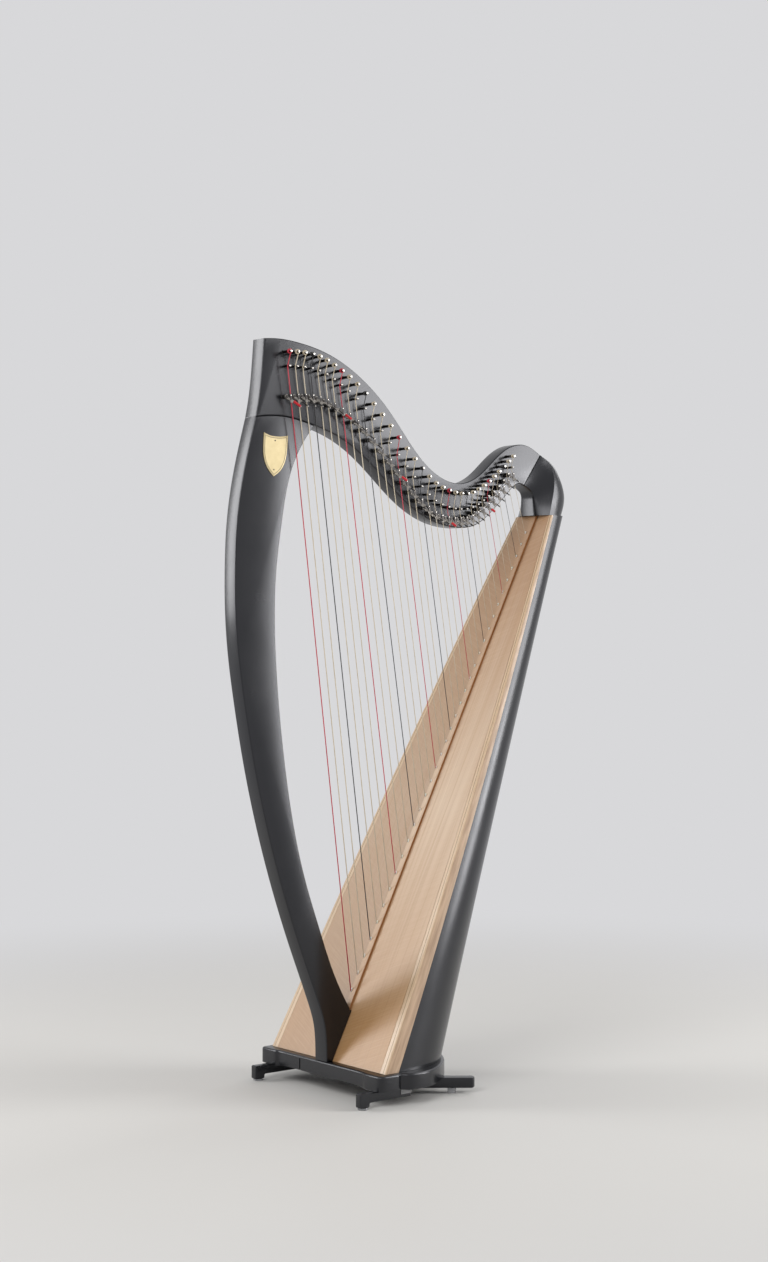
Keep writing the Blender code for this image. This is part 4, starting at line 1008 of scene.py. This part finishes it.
# Tuning pins
# Tapered steel pins are driven through the neck, one for each string. The string side is drilled for
# the string and ends in a bright nickel tip; the other side ends in a filed square for the tuning key.

TUNING_PIN_R = 0.0026
# Each profile starts at the neck's face. Those of the pin itself give shares of its radius.
TUNING_SHAFT = ((-0.0284, 1), (0, 1), (0.0100, 1), (0.0170, 0.97), (0.0252, 0.92))
TUNING_TIP = ((0.0250, 0.90), (0.0262, 0.88), (0.0267, 0.72), (0.0270, 0.35))
TUNING_ROOT = ((-0.0084, 1), (0.0060, 1), (0.0068, 0.85))
TUNING_COLLAR = ((-0.0010, 0.0034), (0.0004, 0.0034), (0.0007, 0.0030), (0.0007, 0.0026))
KEY_SQUARE = ((0.0064, 0.0019), (0.0174, 0.0017), (0.0180, 0.0013))
SQUARE = ((1, 0.75), (0.75, 1), (-0.75, 1), (-1, 0.75), (-1, -0.75), (-0.75, -1), (0.75, -1), (1, -0.75))


def on_neck(place, profile, radius=1.0, side=-1):
    """A turned part that stands square out of one face of the neck, the string side unless told."""
    profile = [(h, r * radius) for h, r in profile]
    return turned((place.x, side * PLATE_HALF, place.z), (0, side, 0), profile)


shapes = []
for s in strings:
    here = s["tuning"]
    # The shaft is painted black, a painted dark reflection; the nickel tip stays bright.
    shapes.append((*on_neck(here, TUNING_SHAFT, TUNING_PIN_R), 1))
    shapes.append(on_neck(here, TUNING_TIP, TUNING_PIN_R))
    shapes.append((*on_neck(here, TUNING_COLLAR), 1))
    shapes.append(on_neck(here, TUNING_ROOT, TUNING_PIN_R, side=1))
    shapes.append(lofted([
        [(here.x + dx * half, PLATE_HALF + along, here.z + dz * half) for dx, dz in SQUARE]
        for along, half in KEY_SQUARE
    ]))
piece("tuning_pin_row", shapes, [nickel, black_steel_and_painted_shade], ["tuning_pins"])

# Bridge pins
# Below each tuning pin stands a turned steel bridge pin that holds the string off the neck. Its shaft is
# painted black, a painted dark reflection; it has a groove for the string, and its round end is polished
# bright.

BRIDGE_SHAFT = ((-0.0144, 1), (0.0120, 1), (0.0130, 0.94), (0.0150, 0.94), (0.0156, 1), (0.0162, 1))
DOME_FOOT = 0.0161
DOME_START = 0.0170
DOME_RISE = 0.0020
BRIDGE_PIN_STAND = 0.0190
DOME_FLAT = 0.0002

dome = [(DOME_FOOT, BRIDGE_PIN_R)]
for a in sweep(0, math.pi / 2, 6)[:-1]:
    dome.append((DOME_START + DOME_RISE * math.sin(a), BRIDGE_PIN_R * math.cos(a)))
dome.append((BRIDGE_PIN_STAND, DOME_FLAT))
shapes = []
for s in strings:
    shapes.append((*on_neck(s["pin"], BRIDGE_SHAFT, BRIDGE_PIN_R), 1))
    shapes.append(on_neck(s["pin"], dome))
piece("bridge_pin_row", shapes, [nickel, black_steel_and_painted_shade], ["bridge_pins"])

# Lever mounts
# Each sharping lever turns on a stepped steel post that is screwed into the neck. A slotted head keeps
# the lever on it. Both are painted black, which is painted shade round the foot of each lever.

BOSS_R = 0.0043
BOSS_WAIST = BOSS_R * 0.84
BOSS_TOP = 0.0085
BOSS_EDGE = 0.0003
AXLE_R = 0.0015
HUB_TOP = 0.0132
HEAD_R = 0.0030
HEAD_FOOT = HUB_TOP + GAP
HEAD_TOP = HEAD_FOOT + 0.0013
POST = (
    (-0.0040, BOSS_R), (0.0002, BOSS_R), (0.0008, BOSS_R), (0.0016, BOSS_WAIST), (0.0062, BOSS_WAIST),
    (0.0068, BOSS_R), (BOSS_TOP - BOSS_EDGE, BOSS_R), (BOSS_TOP, BOSS_R - BOSS_EDGE), (BOSS_TOP, AXLE_R),
    (HUB_TOP + 0.0004, AXLE_R),
)
HEAD = ((HEAD_FOOT, HEAD_R), (HEAD_TOP - 0.0004, HEAD_R), (HEAD_TOP - 0.0001, HEAD_R * 0.86))
HEAD_HALF_R = HEAD_R * 0.84
HEAD_HALF_FOOT = HEAD_TOP - 0.0003
SLOT_SHARE = 0.14  # half the slot's width, as a share of the radius
FIRST_SLOT_TURN = 0.6
SLOT_TURN = 1.7  # from one head to the next, because each came to rest at its own angle

shapes = []
for s in strings:
    here = s["pivot"]
    shapes.append(on_neck(here, POST))
    shapes.append(on_neck(here, HEAD))
    turn = FIRST_SLOT_TURN + s["number"] * SLOT_TURN
    across = Vector((math.cos(turn), 0, math.sin(turn)))
    forth = Vector((-across.z, 0, across.x))
    for sign in (1, -1):  # the two halves beside the slot
        rim = []
        for a in sweep(math.asin(SLOT_SHARE), math.pi - math.asin(SLOT_SHARE), 8):
            rim.append((across * math.cos(a) + forth * (sign * math.sin(a))) * HEAD_HALF_R)
        shapes.append(lofted([
            [p + Vector((here.x, -PLATE_HALF - h, here.z)) for p in rim] for h in (HEAD_HALF_FOOT, HEAD_TOP)
        ]))
piece("lever_post_row", shapes, [black_steel_and_painted_shade], ["lever_mounts"])

# Sharping levers
# Each lever is a nickel plated casting: a hub, a flat finger that presses the string, and an arm with a
# blackened ear and a thin blackened handle. The levers of the C strings wear a red sleeve.

HUB_R = 0.0038
HUB_BORE_R = 0.0020
HUB_BOTTOM = 0.0088
HUB = (
    (HUB_BOTTOM, HUB_BORE_R), (HUB_BOTTOM, HUB_R - 0.0002), (HUB_BOTTOM + 0.0002, HUB_R),
    (HUB_TOP - 0.0003, HUB_R), (HUB_TOP, HUB_R - 0.0003), (HUB_TOP, HUB_BORE_R), (HUB_BOTTOM, HUB_BORE_R),
)
CAM_R = 0.0015
CAM_ROOT = (0.0026, 0.0016)
CAM_NOSE = 0.0012
CAM_INSET = 0.0004
ARM_START = 0.0032
ARM_END = 0.0130
ARM_FOOT = 0.0116
ARM_RISE = 0.70
ARM_HALF_T = 0.0005
ARM = (  # distance from the hub's middle, and width below and above
    (0.0030, 0.0022, 0.0022), (0.0046, 0.0022, 0.0020), (0.0088, 0.0030, 0.0014), (0.0104, 0.0052, 0.0013),
    (0.0128, 0.0054, 0.0013), (0.0136, 0.0046, 0.0011),
)
EAR_TURN = math.radians(23)
EAR_OUT = 0.0072
EAR_R = 0.0023
EAR_ROOT = 0.0100
EAR_ROOT_HALF = 0.0022
EAR_LEVELS = (0.0158, 0.0166, 0.0168)
EAR_SCREW = ((0.0166, 0.0010), (0.0170, 0.0010), (0.0173, 0.0007), (0.0174, 0.0002))
GRIP_RISE = 0.35
GRIP_END = (0.0310, 0.0225)
HANDLE = ((0, 0.0012), (0.86, 0.0012), (0.88, 0.0010))  # shares of its length, and radius
HANDLE_TIP = ((0.86, 0.0009), (0.89, 0.0014), (0.96, 0.0014), (1.0, 0.0007))
HANDLE_NECK = ((-0.0010, 0.0011), (0.0016, 0.0016), (0.0026, 0.0016), (0.0030, 0.0012))
SLEEVE_START = ((0.0012, 0.0018), (0.0018, 0.0024))
SLEEVE_END = ((0.90, 0.0023), (0.93, 0.0017))
REST_ANGLE = math.radians(-38)
LEVER_TRAVEL = math.radians(64)
C_STRINGS = (1, 8, 15, 22, 29)

# Nickel plated zinc, cast and tumbled: greyer and duller than the turned pins, with 3 mm smears over
# pits 0.6 mm apart.
cast_nickel = clouded_finish(
    "tumbled_cast_nickel", 330.0, 4.0, ("#85807a", "#bdb8b0"), (0.26, 0.44), grit=(1800.0, 0.1),
    Metallic=1.0,
)

# Soft red vinyl tube, extruded: an even, slightly shiny red with a faint bloom in 3 mm patches.
red_vinyl = clouded_finish("red_vinyl_sleeve", 350.0, 2.0, ("#a80a18", "#cf1f2b"), (0.3, 0.45), IOR=1.53)

up = Vector((0, -1, 0))
outward = Vector((math.cos(REST_ANGLE), 0, math.sin(REST_ANGLE)))
beside = Vector((-outward.z, 0, outward.x))
for s in strings:
    centre = Vector((s["pivot"].x, -PLATE_HALF, s["pivot"].z))

    # The hub is a bored ring.
    rings = [oval(centre + up * h, outward * r, beside * r, 24) for h, r in HUB]
    shapes = [lofted(rings, capped=False)]

    # The finger that presses the string is rounded at its end.
    engaged = math.atan2(-s["side"].z, -s["side"].x)
    cam_way = Vector((math.cos(engaged - LEVER_TRAVEL), 0, math.sin(engaged - LEVER_TRAVEL)))
    cam_side = Vector((-cam_way.z, 0, cam_way.x))
    cam_far = PIVOT_OFF - s["radius"] - GAP
    rim = [CAM_ROOT, (CAM_ROOT[0], -CAM_ROOT[1])]
    for a in sweep(-math.pi / 2, math.pi / 2, 8):
        rim.append((cam_far - CAM_NOSE * (1 - math.cos(a)), CAM_R * math.sin(a)))
    shapes.append(lofted([
        [centre + up * h + cam_way * r + cam_side * across for r, across in rim]
        for h in (HUB_BOTTOM + CAM_INSET, HUB_TOP - CAM_INSET)
    ]))

    # The arm is a sloping plate, wider on its lower side beyond the string.
    rings = []
    for r, low_side, high_side in ARM:
        middle = centre + outward * r + up * (ARM_FOOT + ARM_RISE * (r - ARM_START))
        low_edge = middle - beside * low_side
        high_edge = middle + beside * high_side
        lift = up * ARM_HALF_T
        rings.append([low_edge - lift, high_edge - lift, high_edge + lift, low_edge + lift])
    shapes.append(lofted(rings))

    # The ear over the string is blackened, with a polished screw in it.
    ear = centre + Vector((math.cos(EAR_TURN), 0, math.sin(EAR_TURN))) * EAR_OUT
    root = centre + outward * EAR_ROOT
    link = (root - ear).normalized()
    beam = Vector((-link.z, 0, link.x))
    rim = [root + beam * EAR_ROOT_HALF, root - beam * EAR_ROOT_HALF]
    for a in sweep(0, math.pi, 12):
        rim.append(ear - beam * (EAR_R * math.cos(a)) - link * (EAR_R * math.sin(a)))
    shapes.append((*lofted([[p + up * h for p in rim] for h in EAR_LEVELS]), 2))
    shapes.append((*turned(ear, up, EAR_SCREW, 16), 1))

    # The handle is a thin rod in a cast neck, with a bright tip.
    arm_tip = centre + outward * ARM_END + up * (ARM_FOOT + ARM_RISE * (ARM_END - ARM_START))
    grip_way = outward + up * GRIP_RISE
    length = (between(GRIP_END, s["share"]) - ARM_END) * grip_way.length
    shapes.append((*turned(arm_tip, grip_way, [(length * f, r) for f, r in HANDLE], 14), 2))
    shapes.append((*turned(arm_tip, grip_way, [(length * f, r) for f, r in HANDLE_TIP], 14), 1))
    shapes.append(turned(arm_tip, grip_way, HANDLE_NECK, 14))
    if s["number"] in C_STRINGS:
        sleeve = list(SLEEVE_START) + [(length * f, r) for f, r in SLEEVE_END]
        shapes.append((*turned(arm_tip, grip_way, sleeve, 16), 3))
    code = "%02d" % s["number"]
    piece(
        "lever_cast_" + code, shapes, [cast_nickel, nickel, black_steel_and_painted_shade, red_vinyl],
        ["sharping_lever_" + code], body="lever_" + code,
    )

# Strings
# The strings are nylon, thick and over-wound in the bass. Every C is dyed red and every F black, and the
# rest are natural. Each is knotted behind the rib, passes its bridge pin and is wound on its tuning pin.

F_STRINGS = (4, 11, 18, 25, 32)
ANCHOR_T = 0.0026
ANCHOR_HALF = 0.0040
ANCHOR_OVER = (0.0120, 0.0100)  # past the first and the last eyelet
WOUND = (-0.0182, -0.0236)  # where the turns start and end, out from the neck's face
TURNS = (2.5, 4.5)  # the fewest and the most
TURN_PITCH = 2.1  # in radii of the string
TURN_GAP = 0.0001
TURN_STEPS = 14
TURN_LEAD = 0.0030


def nylon_string(name, dark, pale, roughness):
    """A finish for one colour of string: drawn nylon with windings 1.2 mm apart that catch the light."""
    made, tree, shader, where = start_finish(name, IOR=1.53)
    drawn = add(tree, "VectorMath", {0: where}, {1: (90.0, 90.0, 30.0)}, operation="MULTIPLY")
    cloud = add(tree, "TexNoise", {"Vector": drawn}, {"Scale": 1.0, "Detail": 2.0})
    drifted(tree, shader, cloud, (dark, pale), (roughness - 0.06, roughness + 0.08))
    winding = add(
        tree, "TexWave", {"Vector": where}, {"Scale": 260.0, "Distortion": 0.3},
        bands_direction="Z",
    )
    relief = add(
        tree, "Bump", {"Height": winding.outputs["Fac"]},
        {"Strength": 0.12, "Distance": FINE_RELIEF},
    )
    connect(shader, Normal=relief)
    return made


natural_nylon = nylon_string("natural_nylon_string", "#b3a488", "#ddd2bc", 0.34)
red_nylon = nylon_string("red_nylon_string", "#a3142a", "#d2384a", 0.34)
black_nylon = nylon_string("black_nylon_string", "#151414", "#2b2929", 0.30)


def tube(path, radius, sides=8):
    """A round cord along a bent path."""
    path = [Vector(p) for p in path]
    steps = [(b - a).normalized() for a, b in zip(path, path[1:])]
    first = steps[0].orthogonal().normalized()
    rings = []
    for k, p in enumerate(path):
        before = steps[max(k - 1, 0)]
        after = steps[min(k, len(steps) - 1)]
        if k:
            first = (first - before * first.dot(before)).normalized()
        second = before.cross(first)
        plane = (before + after).normalized()
        spokes = oval(Vector(), first * radius, second * radius, sides)
        rings.append([p + spoke - before * (spoke.dot(plane) / before.dot(plane)) for spoke in spokes])
        first = before.rotation_difference(after) @ first
    return lofted(rings)


behind = BOARD_T + GAP + RIB_T + GAP * 2
groups = {"natural": [], "red": [], "black": []}
for s in strings:
    r = s["radius"]
    hold = TUNING_PIN_R + r + TURN_GAP
    outer = WOUND[1] - PLATE_HALF
    inner = WOUND[0] - PLATE_HALF
    turns = min(max(TURNS[0], math.floor((inner - outer) / (TURN_PITCH * r)) - 0.5), TURNS[1])
    last = int(turns * TURN_STEPS)
    wound = []
    for k, a in enumerate(sweep(0, 2 * math.pi * last / TURN_STEPS, last)):
        y = inner + (outer - inner) * k / last
        wound.append(s["tuning"] + Vector((hold * math.cos(a), y, hold * math.sin(a))))
    path = [board_point(s["eye"], -behind - ANCHOR_T * 0.5), s["foot"], s["top"]]
    path += [wound[0] - Vector((0, 0, TURN_LEAD))] + wound
    kind = "red" if s["number"] in C_STRINGS else "black" if s["number"] in F_STRINGS else "natural"
    groups[kind].append(tube(path, r))
anchor = ((-behind, ANCHOR_HALF), (-behind - ANCHOR_T, ANCHOR_HALF))
anchor += ((-behind - ANCHOR_T, -ANCHOR_HALF), (-behind, -ANCHOR_HALF))
ends = (FIRST_EYE - ANCHOR_OVER[0], LAST_EYE + ANCHOR_OVER[1])
groups["natural"].append(lofted([[board_point(along, out, y) for out, y in anchor] for along in ends]))
for kind, look in (("natural", natural_nylon), ("red", red_nylon), ("black", black_nylon)):
    piece(kind + "_strings", groups[kind], [look], ["strings"], sharp=50)
